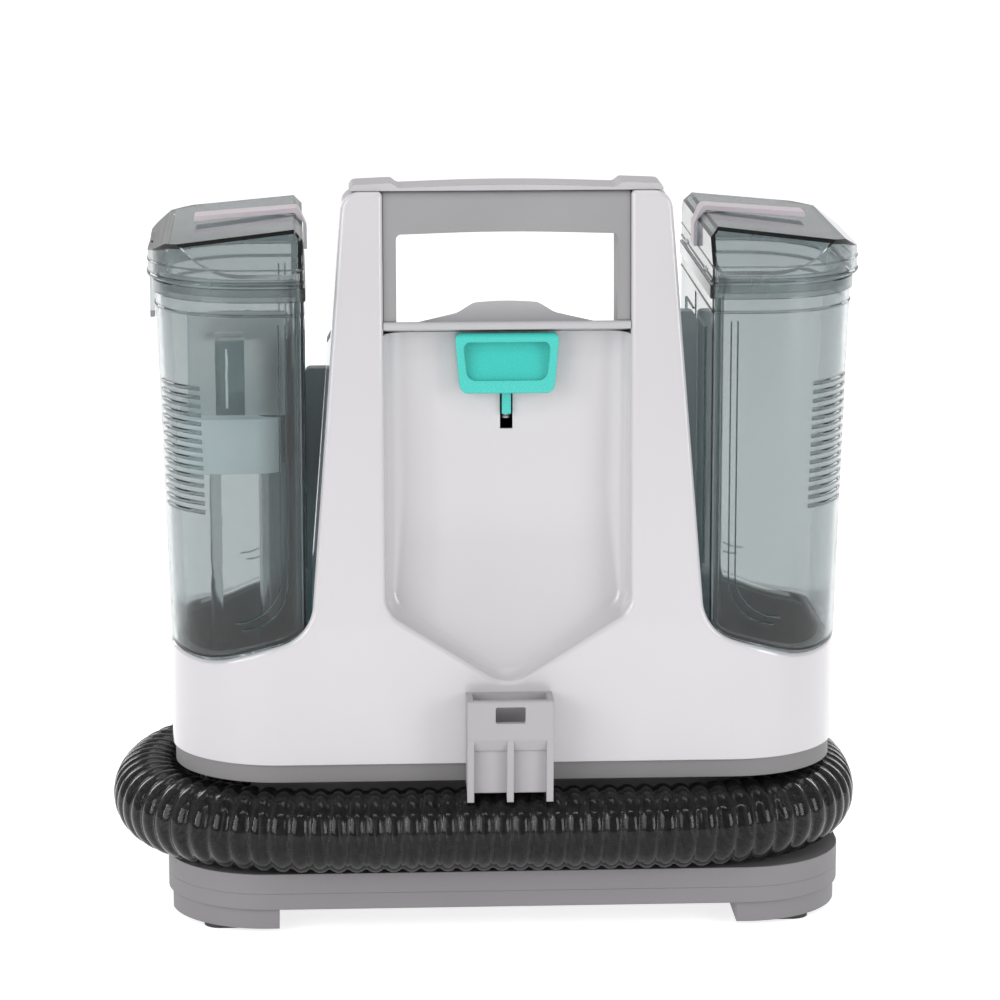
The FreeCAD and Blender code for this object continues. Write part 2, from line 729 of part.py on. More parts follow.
def tank_shell(bottom):
    """A right-hand tank: open at the top, stepped where it leaves the dock."""
    wall, near = mm("tank_wall"), mm("tank_inner_x")
    inset = mm("shell_wall") + 0.2 + mm("liner_wall") + 0.5
    outside = body_plan(inset, bottom, 170).common(block((near, 200), (-90, 90), (bottom, 165)))
    outside = outside.fuse(tank_upper(0, 122.0).cut(above_rim(0.7))).removeSplitter()
    room = body_plan(inset + wall, bottom + wall, 165)
    room = room.common(block((near + wall, 200), (-90, 90), (bottom + wall, 160)))
    room = room.fuse(tank_upper(wall, 122.0).cut(above_rim(0.7 + wall))).removeSplitter()
    groove = block((near - 1, 102.2), (-5.4, 5.4), (bottom - 1, mm("tank_mouth") - 16))
    groove_wall = block((near - 1, 104.4), (-7.6, 7.6), (bottom - 1, mm("tank_mouth") - 13.8))
    return outside.cut(room.cut(groove_wall)).cut(groove)


def lid_shape(inset):
    """Outside of a right-hand lid, or its room when inset."""
    near, far, low = mm("tank_inner_x"), mm("lid_half_x"), mm("tank_mouth") + 0.3
    top = mm("lid_top")
    half = mm("tank_half_y") - inset
    wires = []
    for z, x in ((low - (1.0 if inset else 0.0), far), (top + 2, far)):
        wires.append(tank_wire(inset, x, z))
    solid = Part.makeLoft(wires, True, True)
    front_view = [(near - 2, low - 2, 0), (far + 2, low - 2, 0), (far + 2, 329.0, 0),
                  (far - 9.0 - inset, top - 6.5 - inset, 0), (near + 4, top - inset, 0),
                  (near - 2, top - 7.0 - inset, 0)]
    side_view = [(-half - 1, low - 2, 0), (-half - 1, 323.0 - inset, 0), (-61.0, top + 0.5 - inset, 0),
                 (65.0, top + 0.5 - inset, 0), (half + 1, 329.0 - inset, 0), (half + 1, low - 2, 0)]
    solid = solid.common(prism("xz", front_view, -90, 90))
    return solid.common(prism("yz", side_view, 60, 200))


def lid_shell(tank):
    shell = lid_shape(0).cut(lid_shape(2.4))
    near, far = mm("tank_inner_x"), mm("lid_half_x")
    if tank == "recovery":
        boss = block((far - 5.3, far - 1.2), (-17.0, 17.0), (mm("tank_mouth") + 0.3, 332.0))
        pocket = block((far - 3.2, far + 2), (-15.5, 15.5), (300.0, 330.5))
        shell = shell.fuse(boss).cut(pocket)
    channel = block((near + 3.0, 149.0), (-8.6, 8.6), (mm("lid_top") - 1.0, 350.0))
    return shell.cut(channel).removeSplitter()


def gasket_shape():
    """Seal in the mouth of a right-hand tank, with a lip below the lid."""
    wall, low = mm("tank_wall"), mm("tank_mouth")
    far = mm("tank_top_outer_x")
    outer = [tank_wire(wall + 0.4, far, z) for z in (low - 5, low + 3)]
    inner = [tank_wire(wall + 3.4, far, z) for z in (low - 6, low + 4)]
    return Part.makeLoft(outer, True, True).cut(Part.makeLoft(inner, True, True))


def carry_strap():
    """Flat strap over a right-hand lid, with an arm down its inner side."""
    near, top = mm("tank_inner_x"), mm("lid_top")
    outline = [(near - 2.2, top - 17.0, 0), (near - 0.5, top - 17.0, 0), (near - 0.5, top - 4.0, 0),
               (near + 3.4, top + 0.8, 3.0), (150.0, top - 3.2, 0), (150.0, top - 0.6, 1.0),
               (near + 2.0, top + 3.2, 3.0), (near - 2.2, top - 6.2, 2.0)]
    return prism("xz", outline, -8.0, 8.0)


def tanks():
    bottom = mm("tank_bottom")
    right = tank_shell(bottom)
    left = mirrored(right)
    for x, y in PORTS.values():
        left = left.cut(Part.makeCylinder(10.0, 8, Vector(x, y, bottom - 2)))
    right = right.cut(Part.makeCylinder(14.0, 8, Vector(128.0, 0, bottom - 2)))
    node(feature("recovery_shell", left), "recovery_tank_body")
    node(feature("clean_shell", right), "clean_tank_body")
    node(feature("recovery_lid_shell", mirrored(lid_shell("recovery"))), "recovery_lid")
    node(feature("clean_lid_shell", lid_shell("clean")), "clean_lid")
    node(feature("recovery_seal", mirrored(gasket_shape())), "recovery_lid_gasket")
    node(feature("clean_seal", gasket_shape()), "clean_lid_gasket")
    node(feature("recovery_strap", mirrored(carry_strap())), "recovery_carry_handle")
    node(feature("clean_strap", carry_strap()), "clean_carry_handle")

    pipes = []
    for name, (x, y) in PORTS.items():
        foot = (x, y, size("tank_bottom") + 0.05)
        pipes.append(ring("standpipe_" + name, 10.0, 8.4, 186.0, foot))
    tray = slab("separator_tray", 21, 38, 6, 286.0, 288.4, -126.0, 0.0)
    holes = [cylinder("separator_hole_" + n, 8.4, 10, (x, y, 280)) for n, (x, y) in PORTS.items()]
    node(cut("ducts", fuse("duct_pipes", tray, *pipes), *holes), "recovery_standpipes")

    post = cylinder("float_post", 3.0, 175.0, (-142.0, 0, size("tank_bottom") + size("tank_wall")))
    stop = cylinder("float_stop", 6.0, 3.0, (-142.0, 0, 216.0))
    node(fuse("float_guide", post, stop), "float_guide_post")
    low, high = 220.0, 247.0
    block_plan = slab("float_plan", 27.5, 38.0, 16.0, low, high, -132.5, 0.0)
    notches = [cylinder("float_notch_" + n, 10.6, 30.0, (x, y, low - 1)) for n, (x, y) in PORTS.items()]
    notches.append(cylinder("float_hole", 3.6, 30.0, (-142.0, 0, low - 1)))
    node(cut("float_solid", block_plan, *notches), "float_block")

    clip_x = mm("lid_half_x")
    outline = [(-clip_x + 0.1, 294.0, 0), (-clip_x + 2.5, 294.0, 1.0), (-clip_x + 2.5, 328.5, 1.1),
               (-clip_x + 0.1, 328.5, 1.1)]
    node(feature("lid_clip", prism("xz", outline, -14.5, 14.5)), "recovery_lid_latch")

    cap = cylinder("valve_cap_body", 18.5, 7.5, (128, 0, 92.5))
    rim = cylinder("valve_cap_rim", 13.6, 3.0, (128, 0, 99.8))
    room = cylinder("valve_cap_room", 11.5, 12.0, (128, 0, 95.0))
    hole = cylinder("valve_cap_hole", 6.0, 5.0, (128, 0, 91.5))
    node(cut("valve_cap", fuse("valve_cap_solid", cap, rim), room, hole), "clean_valve_cap")
    disc = cylinder("plunger_disc", 8.6, 2.0, (128, 0, 95.3))
    stem = cylinder("plunger_stem", 2.5, 9.0, (128, 0, 97.0))
    node(fuse("plunger", disc, stem), "clean_valve_plunger")


# ------------------------------------------------------------- inside works
def tube_along(points, radius, hole=0.0):
    """A round tube on straight runs joined by the largest tangent arcs."""
    spots = [Vector(*p) for p in points]
    edges, start, radii = [], spots[0], []
    for before, here, after in zip(spots, spots[1:], spots[2:]):
        back, forward = before - here, after - here
        half_turn = (math.pi - back.getAngle(forward)) / 2
        shorter = min(back.Length, forward.Length)
        bend = 0.45 * shorter / math.tan(half_turn)
        radii.append(bend)
        back.normalize()
        forward.normalize()
        first, last = here + back * (0.45 * shorter), here + forward * (0.45 * shorter)
        middle_way = (back + forward).normalize()
        centre = here + middle_way * (bend / math.cos(half_turn))
        edges.append(Part.LineSegment(start, first).toShape())
        edges.append(Part.Arc(first, centre - middle_way * bend, last).toShape())
        start = last
    edges.append(Part.LineSegment(start, spots[-1]).toShape())
    path = Part.Wire(edges)
    heading = (spots[1] - spots[0]).normalize()
    section = Part.Wire(Part.Circle(spots[0], heading, radius).toShape())
    tube = path.makePipeShell([section], True, False)
    if hole:
        bore = Part.Wire(Part.Circle(spots[0], heading, hole).toShape())
        tube = tube.cut(path.makePipeShell([bore], True, False))
    return tube, path.Length, radii


def fan_and_motor():
    y, radius = size("fan_y"), size("fan_radius")
    base = size("band_top") + 6.0
    body = cylinder("fan_body", radius, 34.0, (0, y, base))
    outlet = box("fan_outlet", (-20, 20), (y, 74), (base + 8, base + 30))
    room = cylinder("fan_room", radius - 2.5, 28.0, (0, y, base + 3))
    outlet_room = box("fan_outlet_room", (-17.5, 17.5), (y, 76), (base + 10.5, base + 27.5))
    eye = cylinder("fan_eye", 12.0, 5.0, (0, y, base - 1))
    shaft_hole = cylinder("fan_shaft_hole", 6.0, 6.0, (0, y, base + 30))
    case = fuse("fan_solid", body, outlet)
    node(cut("fan_case", case, room, outlet_room, eye, shaft_hole), "fan_housing")

    mounts = []
    for number in range(3):
        angle = math.radians(90 + 120 * number)
        spot = (43.0 * math.cos(angle) * 0.98, y + 43.0 * math.sin(angle) * 0.98, size("neck_top") + 3)
        mounts.append(cylinder(f"mount_{number}", 6.0, base - size("neck_top") - 3, spot))
    node(group("mounts", *mounts), "motor_mounts")
    beam = box("cradle_beam", (-88, 88), (-20, -8), (size("neck_top"), size("neck_top") + 3))
    spokes = box("cradle_spine", (-6, 6), (-20, 48), (size("neck_top"), size("neck_top") + 3))
    eye_gap = cylinder("cradle_gap", 16.0, 8.0, (0, y, size("neck_top") - 2))
    hub = cylinder("cradle_hub", 50.0, 3.0, (0, y - 0.0, size("neck_top")))
    plate = common("cradle_hub_trim", hub, box("cradle_hub_box", (-60, 60), (-47, 47), (70, 90)))
    node(cut("cradle_cut", fuse("cradle", plate, spokes, beam), eye_gap), "fan_cradle")

    can_low = base + 34.0
    can = cylinder("can", size("motor_radius"), 78.0, (0, y, can_low))
    can_room = cylinder("can_room", size("motor_radius") - 2.0, 73.0, (0, y, can_low + 2.5))
    run = size("shaft_radius") + size("run_gap")
    bore = cylinder("can_bore", run, 90.0, (0, y, can_low - 3))
    node(cut("motor_shell", can, can_room, bore), "vacuum_motor_can")
    stator = ring("stator_ring", size("motor_radius") - 2.0, 25.0, 44.0, (0, y, can_low + 16))
    node(stator, "motor_stator")

    shaft = cylinder("shaft", size("shaft_radius"), 104.0, (0, y, base + 6))
    armature = cylinder("armature", 24.0, 42.0, (0, y, can_low + 17))
    node(fuse("rotor_solid", shaft, armature), "motor_rotor")
    disc = cylinder("impeller_disc", radius - 8.0, 2.0, (0, y, base + 8))
    blades = []
    for number in range(8):
        blade = box(f"blade_{number}", (14, radius - 9.0), (-0.8, 0.8), (0, 12.0))
        holder = doc.addObject("Part::Compound", f"blade_turn_{number}")
        holder.Links = [blade]
        holder.Placement.Rotation = FreeCAD.Rotation(Vector(0, 0, 1), 45.0 * number)
        bind(holder, "Placement.Base.y", y)
        bind(holder, "Placement.Base.z", base + 9.5)
        blades.append(holder)
    hub = cylinder("impeller_hub", 15.0, 14.0, (0, y, base + 8))
    hub_bore = cylinder("impeller_bore", size("shaft_radius"), 30.0, (0, y, base + 4))
    node(cut("impeller_solid", fuse("impeller_all", disc, hub, *blades), hub_bore), "impeller")


def water_side():
    """Pump, its tubes, the valve seat and the two air ducts."""
    body = box("pump_box", (58, 84), (-24, 10), (34, 68))
    head = cylinder("pump_head", 13.0, 16.0, (42, -7, 51), "x")
    node(fuse("pump", body, head), "pump_body")

    seat = ring("seat_ring", 22.0, 19.2, 12.0, (128, 0, 84.5))
    floor = cylinder("seat_floor", 22.0, 3.0, (128, 0, 84.0))
    spigot = cylinder("seat_spigot", 4.0, 10.6, (128, 0, 84.0))
    bore = cylinder("seat_bore", 2.4, 20.0, (128, 0, 80.0))
    node(cut("seat", fuse("seat_solid", seat, floor, spigot), bore), "clean_valve_seat")

    inlet, _, _ = tube_along([(128, 0, 84), (128, 0, 79), (119, 0, 79.5), (112, 0, 74), (112, 0, 58),
                              (100, 0, 54), (84, 0, 54)], 2.4)
    node(feature("pump_inlet", inlet), "pump_inlet_tube")
    outlet, _, _ = tube_along([(42, -7, 51), (30, -7, 51), (22, 4, 51), (22, 24, 51)], 2.4)
    node(feature("pump_outlet", outlet), "pump_outlet_tube")

    suction, _, _ = tube_along([(*PORTS["suction"], 98.5), (*PORTS["suction"], 60), (-72, -22, 54),
                                (-34, 0, 54), (0, 8, 54), (0, 8, 90)], 10.0, 8.4)
    node(feature("suction", suction), "suction_duct")
    dirty, _, _ = tube_along([(*PORTS["dirty"], 98.5), (*PORTS["dirty"], 56), (-72, 30, 51.6),
                              (-38, 36, 51.6), (-6.0, 36, 51.6)], 10.0, 8.4)
    node(feature("dirty", dirty), "dirty_water_duct")
    seals = [ring("port_seal_" + n, 10.2, 8.4, 1.5, (x, y, 98.5)) for n, (x, y) in PORTS.items()]
    node(group("port_seals", *seals), "dock_port_seals")

    axis_z, px, py, pr = size("hose_axis_z"), size("port_x"), size("port_y"), size("port_radius")
    inward = cylinder("port_inward", pr, py - 26, (px, 26, axis_z), "y")
    ball = doc.addObject("Part::Sphere", "port_ball")
    bind(ball, "Radius", pr)
    turned(ball, (px, py, axis_z), "z")
    outward = cylinder("port_outward", pr, px + 5, (-5.0, py, axis_z), "x")
    box_end = box("port_chest", (-6, 34), (24, 50), (33, 70))
    bore_in = cylinder("port_bore_in", pr - 3, py - 30, (px, 30, axis_z), "y")
    bore_ball = doc.addObject("Part::Sphere", "port_bore_ball")
    bind(bore_ball, "Radius", pr - 3)
    turned(bore_ball, (px, py, axis_z), "z")
    bore_out = cylinder("port_bore_out", pr - 3, px + 6, (-6.0, py, axis_z), "x")
    solid = fuse("port_solid", inward, ball, outward, box_end)
    node(cut("port", solid, bore_in, bore_ball, bore_out), "hose_port_elbow")


def back_wall(z):
    """How far back the outside of the rear wall is at a height."""
    rise = deck_line(mm("back_top_y")) - mm("front_lean_start")
    lean = (mm("body_half_y") - mm("back_top_y")) / rise
    return mm("body_half_y") - lean * max(0.0, z - mm("front_lean_start"))


def electrics():
    well_y, top = size("button_y"), size("switch_top")
    button = cylinder("button_cap", 11.0, 6.5, (0, well_y, top + 12.3))
    stalk = cylinder("button_stalk", 3.0, 28.0, (0, well_y, top - 15.5))
    node(fuse("button", button, stalk), "power_button")
    cup = ring("switch_collar", 13.5, 11.4, 14.0, (0, well_y, top - 14))
    base = cylinder("switch_base", 13.5, 16.0, (0, well_y, top - 30))
    flange = ring("switch_flange", 18.0, 13.0, 2.0, (0, well_y, top - 2))
    sink = cylinder("switch_sink", 3.4, 7.0, (0, well_y, top - 20))
    node(cut("switch", fuse("switch_solid", cup, base, flange), sink), "power_switch")

    board = box("board", (-44, 44), (50, 51.6), (196, 258))
    chips = [box("relay", (-34, -16), (35, 50.5), (205, 223)),
             box("filter_can", (6, 22), (38, 50.5), (232, 248)),
             box("terminal", (20, 40), (42, 50.5), (204, 214))]
    node(fuse("control", board, *chips), "control_board")

    low, high = 206.3, 249.7
    wall = [(back_wall(z) + off, z, 0) for z, off in ((low, -2.4), (low, 0.6), (high, 0.6), (high, -2.4))]
    grille = prism("yz", wall, -33.7, 33.7)
    for number in range(8):
        z = 210.0 + 4.7 * number
        grille = grille.cut(block((-29, 29), (60, 90), (z, z + 2.4)))
    node(feature("grille", grille), "exhaust_grille")
    node(box("filter_pad", (-33, 33), (58, 64), (206, 250)), "exhaust_filter")

    nut = cylinder("gland_nut", 9.0, 8.0, (60, size("body_half_y"), 100), "y")
    stem = cylinder("gland_stem", 6.0, 14.0, (60, 70, 100), "y")
    bore = cylinder("gland_bore", 3.6, 40.0, (60, 60, 100), "y")
    node(cut("gland", fuse("gland_solid", nut, stem), bore), "cord_gland")


def fasteners():
    """Identical screws, one group for each size."""
    shell_screws, tray_screws = [], []
    shell_spots = ((-70, 118), (70, 118), (-62, 254), (62, 254), (-98, 90), (98, 90))
    tray_spots = ((-96, -62), (96, -62), (-96, 62), (96, 62), (0, -68), (0, 68))
    for number, (x, z) in enumerate(shell_spots):
        y = back_wall(z) - 0.6
        head = cylinder(f"shell_head_{number}", 3.6, 2.4, (x, y, z), "y")
        stem = cylinder(f"shell_stem_{number}", 1.6, 10.0, (x, y - 9.5, z), "y")
        shell_screws.append(fuse(f"shell_screw_{number}", head, stem))
    for number, (x, y) in enumerate(tray_spots):
        head = cylinder(f"tray_head_{number}", 3.6, 2.4, (x, y, size("plate_low") - 0.8))
        stem = cylinder(f"tray_stem_{number}", 1.6, 16.0, (x, y, size("plate_low")))
        tray_screws.append(fuse(f"tray_screw_{number}", head, stem))
    node(group("shell_screw_group", *shell_screws), "shell_screws")
    node(group("tray_screw_group", *tray_screws), "tray_screws")
    node(spring("latch", 7, 3.2, (0, -50.0, 250.0)), "latch_spring")
    node(spring("button", 12, 5.4, (0, size("button_y"), size("switch_top") - 13.1)), "button_spring")


def spring(name, turns, radius, foot):
    """A spring as close rings, each overlapping the next."""
    x, y, low = foot
    coils = []
    for number in range(turns):
        coils.append(torus(f"{name}_coil_{number}", radius, 0.9, (x, y, low + 1.75 * number)))
    return fuse(name + "_coils", *coils)


# --------------------------------------------------------------------- hose
HOSE_ROUTE = [(-5, 81), (-36, 81), (-73, 82.5), (-111, 80), (-146, 66), (-169, 36), (-176, -2),
              (-170, -39), (-146, -68), (-109, -81), (-69, -82.5), (-28, -82), (14, -82.7), (56, -82),
              (98, -80.5), (134, -67), (154, -38), (159, -4), (156, 31), (139, 64), (111, 81), (84, 81)]


def hose_parts():
    """The suction hose, once round the neck, and what is on its far end."""
    axis_z = mm("hose_axis_z")
    route = [(x, y, axis_z) for x, y in HOSE_ROUTE]
    tube, length, radii = tube_along(route, mm("hose_dia") / 2)
    section = math.pi * (mm("hose_dia") / 2) ** 2
    print("hose length", round(length, 1), "volume ratio", round(tube.Volume / (section * length), 4))
    print("hose bend radii", [round(r) for r in radii])
    node(feature("hose", tube), "suction_hose")

    sleeve = cylinder("connector_sleeve", 19.0, 20.0, (64.0, size("port_y"), size("hose_axis_z")), "x")
    nose = cylinder("connector_nose", 16.0, 22.0, (43.0, size("port_y"), size("hose_axis_z")), "x")
    bore = cylinder("connector_bore", 13.0, 60.0, (40.0, size("port_y"), size("hose_axis_z")), "x")
    node(cut("connector", fuse("connector_solid", sleeve, nose), bore), "hose_connector")

    hook = ring("clip_ring", 18.4, 16.3, 8.0, (50.0, size("port_y"), size("hose_axis_z")), "x")
    gap = box("clip_gap", (48, 60), (60, 110), (size("hose_axis_z") + 6, size("hose_axis_z") + 40))
    stand = box("clip_stand", (50, 58), (57, 66), (size("hose_axis_z") - 14, size("hose_axis_z") + 2))
    foot = box("clip_foot", (46, 62), (56, 58.5), (size("hose_axis_z") - 16, size("hose_axis_z") + 4))
    node(cut("clip", fuse("clip_solid", hook, stand, foot), gap,
             cylinder("clip_clear", 16.3, 30.0, (40.0, size("port_y"), size("hose_axis_z")), "x")),
         "hose_parking_clip")


# ------------------------------------------------------------------ hand-out
def check_document():
    doc.recompute()
    for obj in doc.Objects:
        if "Invalid" in obj.State or "Error" in obj.State:
            raise RuntimeError(f"{obj.Name} failed: {obj.State}")
    for label, obj in NODES.items():
        shape = obj.Shape
        if shape.isNull() or not shape.isValid() or not shape.Solids:
            raise RuntimeError(f"{label} has no valid solid")


def write_parts():
    os.makedirs("parts", exist_ok=True)
    for label, obj in NODES.items():
        obj.Shape.exportStep(f"parts/{label}.step")
        span = obj.Shape.BoundBox
        low = (round(span.XMin, 1), round(span.YMin, 1), round(span.ZMin, 1))
        high = (round(span.XMax, 1), round(span.YMax, 1), round(span.ZMax, 1))
        volume = round(obj.Shape.Volume / 1000, 1)
        print(f"{label:26s} solids {len(obj.Shape.Solids)}  {low} {high}  {volume} cm3")
    print(len(NODES), "nodes")


MAKERS = [white_shells, base_parts, dock_liners, recess_panel, deck_and_handle, tool_holder, guides,
          tanks, fan_and_motor, water_side, electrics, fasteners, hose_parts]
for maker in MAKERS:
    maker()
check_document()
write_parts()
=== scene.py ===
"""Looks of the portable carpet cleaner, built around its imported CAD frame.

Metres.  +Z is up, +X is to the right of someone facing the machine, and the
front faces -Y.  Places come from the frame's boxes; small trim sizes are
named where they are used.
"""
import json
import math

import bmesh
import bpy
from mathutils import Matrix, Vector


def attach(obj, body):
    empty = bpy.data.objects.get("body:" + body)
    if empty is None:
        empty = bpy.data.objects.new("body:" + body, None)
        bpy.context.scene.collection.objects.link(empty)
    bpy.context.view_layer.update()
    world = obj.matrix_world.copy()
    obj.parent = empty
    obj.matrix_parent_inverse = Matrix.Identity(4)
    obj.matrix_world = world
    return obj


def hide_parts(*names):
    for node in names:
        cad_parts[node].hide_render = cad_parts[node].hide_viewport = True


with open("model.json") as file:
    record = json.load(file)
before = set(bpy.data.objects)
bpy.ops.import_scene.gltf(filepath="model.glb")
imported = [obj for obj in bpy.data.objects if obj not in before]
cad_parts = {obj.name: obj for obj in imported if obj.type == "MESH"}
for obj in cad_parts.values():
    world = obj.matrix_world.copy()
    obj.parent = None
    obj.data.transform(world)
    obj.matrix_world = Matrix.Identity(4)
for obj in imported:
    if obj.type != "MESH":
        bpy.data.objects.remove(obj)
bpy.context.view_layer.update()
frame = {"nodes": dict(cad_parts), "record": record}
NODES = frame["nodes"]
MM = 0.001


# ---------------------------------------------------------------- shader kit
def new_material(name):
    """A material with an empty tree, its Principled shader and its output."""
    material = bpy.data.materials.new(name)
    material.use_nodes = True
    tree = material.node_tree
    tree.nodes.clear()
    output = tree.nodes.new("ShaderNodeOutputMaterial")
    shader = tree.nodes.new("ShaderNodeBsdfPrincipled")
    tree.links.new(shader.outputs["BSDF"], output.inputs["Surface"])
    return material, tree, shader


def place(tree, stretch=(1.0, 1.0, 1.0)):
    """Object-space coordinates, stretched along any axis."""
    coords = tree.nodes.new("ShaderNodeTexCoord")
    mapping = tree.nodes.new("ShaderNodeMapping")
    mapping.inputs["Scale"].default_value = stretch
    tree.links.new(coords.outputs["Object"], mapping.inputs["Vector"])
    return mapping.outputs["Vector"]


def noise(tree, vector, scale, detail=2.0, roughness=0.5):
    texture = tree.nodes.new("ShaderNodeTexNoise")
    texture.inputs["Scale"].default_value = scale
    texture.inputs["Detail"].default_value = detail
    texture.inputs["Roughness"].default_value = roughness
    tree.links.new(vector, texture.inputs["Vector"])
    return texture.outputs["Fac"]


def ramp(tree, fac, stops):
    """A colour ramp: stops are (place, (r, g, b))."""
    node = tree.nodes.new("ShaderNodeValToRGB")
    elements = node.color_ramp.elements
    while len(elements) < len(stops):
        elements.new(0.5)
    for element, (where, colour) in zip(elements, stops):
        element.position = where
        element.color = (*colour, 1.0)
    tree.links.new(fac, node.inputs["Fac"])
    return node.outputs["Color"]


def spread(tree, fac, low, high, from_low=0.35, from_high=0.65):
    """Maps a texture's value to a range, such as a roughness."""
    node = tree.nodes.new("ShaderNodeMapRange")
    node.inputs["From Min"].default_value = from_low
    node.inputs["From Max"].default_value = from_high
    node.inputs["To Min"].default_value = low
    node.inputs["To Max"].default_value = high
    tree.links.new(fac, node.inputs["Value"])
    return node.outputs["Result"]


EDGE_RADIUS = 0.0007


def bump(tree, shader, height, strength, distance):
    """Surface grain on top of very slightly rounded edges."""
    edges = tree.nodes.new("ShaderNodeBevel")
    edges.samples = 4
    edges.inputs["Radius"].default_value = EDGE_RADIUS
    node = tree.nodes.new("ShaderNodeBump")
    tree.links.new(edges.outputs["Normal"], node.inputs["Normal"])
    node.inputs["Strength"].default_value = strength
    node.inputs["Distance"].default_value = distance
    tree.links.new(height, node.inputs["Height"])
    tree.links.new(node.outputs["Normal"], shader.inputs["Normal"])


def shade(colour, factor):
    return tuple(min(1.0, channel * factor) for channel in colour)


def moulded(name, colour, rough=(0.3, 0.4), grain=900.0, relief=0.12, depth=0.00008, coat=0.0):
    """Moulded plastic: faint flow marks in its tone and a fine surface grain."""
    material, tree, shader = new_material(name)
    vector = place(tree)
    flow = noise(tree, place(tree, (1.0, 1.0, 0.35)), 9.0, 3.0)
    tone = ramp(tree, flow, [(0.3, shade(colour, 0.965)), (0.7, shade(colour, 1.02))])
    tree.links.new(tone, shader.inputs["Base Color"])
    fine = noise(tree, vector, grain, 3.0, 0.6)
    tree.links.new(spread(tree, fine, *rough), shader.inputs["Roughness"])
    bump(tree, shader, fine, relief, depth)
    shader.inputs["Coat Weight"].default_value = coat
    shader.inputs["Coat Roughness"].default_value = 0.08
    return material


def spark_eroded(name, colour, rough=(0.5, 0.62)):
    """Matt trim with the pebbled texture of an eroded mould."""
    material, tree, shader = new_material(name)
    vector = place(tree)
    cells = tree.nodes.new("ShaderNodeTexVoronoi")
    cells.inputs["Scale"].default_value = 1400.0
    tree.links.new(vector, cells.inputs["Vector"])
    cloud = noise(tree, vector, 14.0, 4.0)
    tone = ramp(tree, cloud, [(0.3, shade(colour, 0.95)), (0.7, shade(colour, 1.03))])
    tree.links.new(tone, shader.inputs["Base Color"])
    tree.links.new(spread(tree, cloud, *rough), shader.inputs["Roughness"])
    bump(tree, shader, cells.outputs["Distance"], 0.22, 0.00009)
    return material


def smoked(name, tint, rough=0.03, shadow=(0.75, 0.8, 0.81)):
    """Clear tinted plastic that bends light, and lets lamps through it."""
    material, tree, shader = new_material(name)
    cloud = noise(tree, place(tree), 7.0, 2.0)
    tone = ramp(tree, cloud, [(0.3, shade(tint, 0.97)), (0.7, shade(tint, 1.02))])
    tree.links.new(tone, shader.inputs["Base Color"])
    shader.inputs["Transmission Weight"].default_value = 1.0
    shader.inputs["IOR"].default_value = 1.42
    ripple = noise(tree, place(tree, (1.0, 1.0, 0.3)), 30.0, 2.0)
    tree.links.new(spread(tree, ripple, rough, rough + 0.03), shader.inputs["Roughness"])
    height = tree.nodes.new("ShaderNodeBump")
    height.inputs["Strength"].default_value = 0.03
    height.inputs["Distance"].default_value = 0.0005
    tree.links.new(ripple, height.inputs["Height"])
    tree.links.new(height.outputs["Normal"], shader.inputs["Normal"])
    clear = tree.nodes.new("ShaderNodeBsdfTransparent")
    clear.inputs["Color"].default_value = (*shadow, 1.0)
    path = tree.nodes.new("ShaderNodeLightPath")
    mix = tree.nodes.new("ShaderNodeMixShader")
    tree.links.new(path.outputs["Is Shadow Ray"], mix.inputs["Fac"])
    tree.links.new(shader.outputs["BSDF"], mix.inputs[1])
    tree.links.new(clear.outputs["BSDF"], mix.inputs[2])
    output = next(node for node in tree.nodes if node.type == "OUTPUT_MATERIAL")
    tree.links.new(mix.outputs["Shader"], output.inputs["Surface"])
    return material


def rubber(name, colour, rough=(0.6, 0.78)):
    material, tree, shader = new_material(name)
    dust = noise(tree, place(tree), 240.0, 5.0, 0.65)
    tone = ramp(tree, dust, [(0.35, colour), (0.72, shade(colour, 1.7))])
    tree.links.new(tone, shader.inputs["Base Color"])
    tree.links.new(spread(tree, dust, *rough), shader.inputs["Roughness"])
    bump(tree, shader, dust, 0.25, 0.0001)
    return material


def metal(name, colour, rough=(0.22, 0.38), stretch=(1.0, 1.0, 40.0)):
    """Drawn or turned metal, with fine lines across its length."""
    material, tree, shader = new_material(name)
    lines = noise(tree, place(tree, stretch), 160.0, 3.0)
    tone = ramp(tree, lines, [(0.3, shade(colour, 0.86)), (0.7, colour)])
    tree.links.new(tone, shader.inputs["Base Color"])
    tree.links.new(spread(tree, lines, *rough), shader.inputs["Roughness"])
    shader.inputs["Metallic"].default_value = 1.0
    bump(tree, shader, lines, 0.12, 0.00005)
    return material


def foam(name, colour):
    material, tree, shader = new_material(name)
    cells = tree.nodes.new("ShaderNodeTexVoronoi")
    cells.inputs["Scale"].default_value = 700.0
    tree.links.new(place(tree), cells.inputs["Vector"])
    # The pits of the cells are painted darker: painted shade in the pores.
    tone = ramp(tree, cells.outputs["Distance"], [(0.1, shade(colour, 0.35)), (0.6, colour)])
    tree.links.new(tone, shader.inputs["Base Color"])
    shader.inputs["Roughness"].default_value = 0.9
    bump(tree, shader, cells.outputs["Distance"], 0.8, 0.0006)
    return material


def circuit(name, colour):
    """Coated board with the squared-off marks of its tracks."""
    material, tree, shader = new_material(name)
    tracks = tree.nodes.new("ShaderNodeTexVoronoi")
    tracks.distance = "CHEBYCHEV"
    tracks.inputs["Scale"].default_value = 260.0
    tree.links.new(place(tree), tracks.inputs["Vector"])
    tone = ramp(tree, tracks.outputs["Distance"], [(0.25, shade(colour, 1.6)), (0.5, colour)])
    tree.links.new(tone, shader.inputs["Base Color"])
    shader.inputs["Roughness"].default_value = 0.35
    bump(tree, shader, tracks.outputs["Distance"], 0.3, 0.0001)
    return material


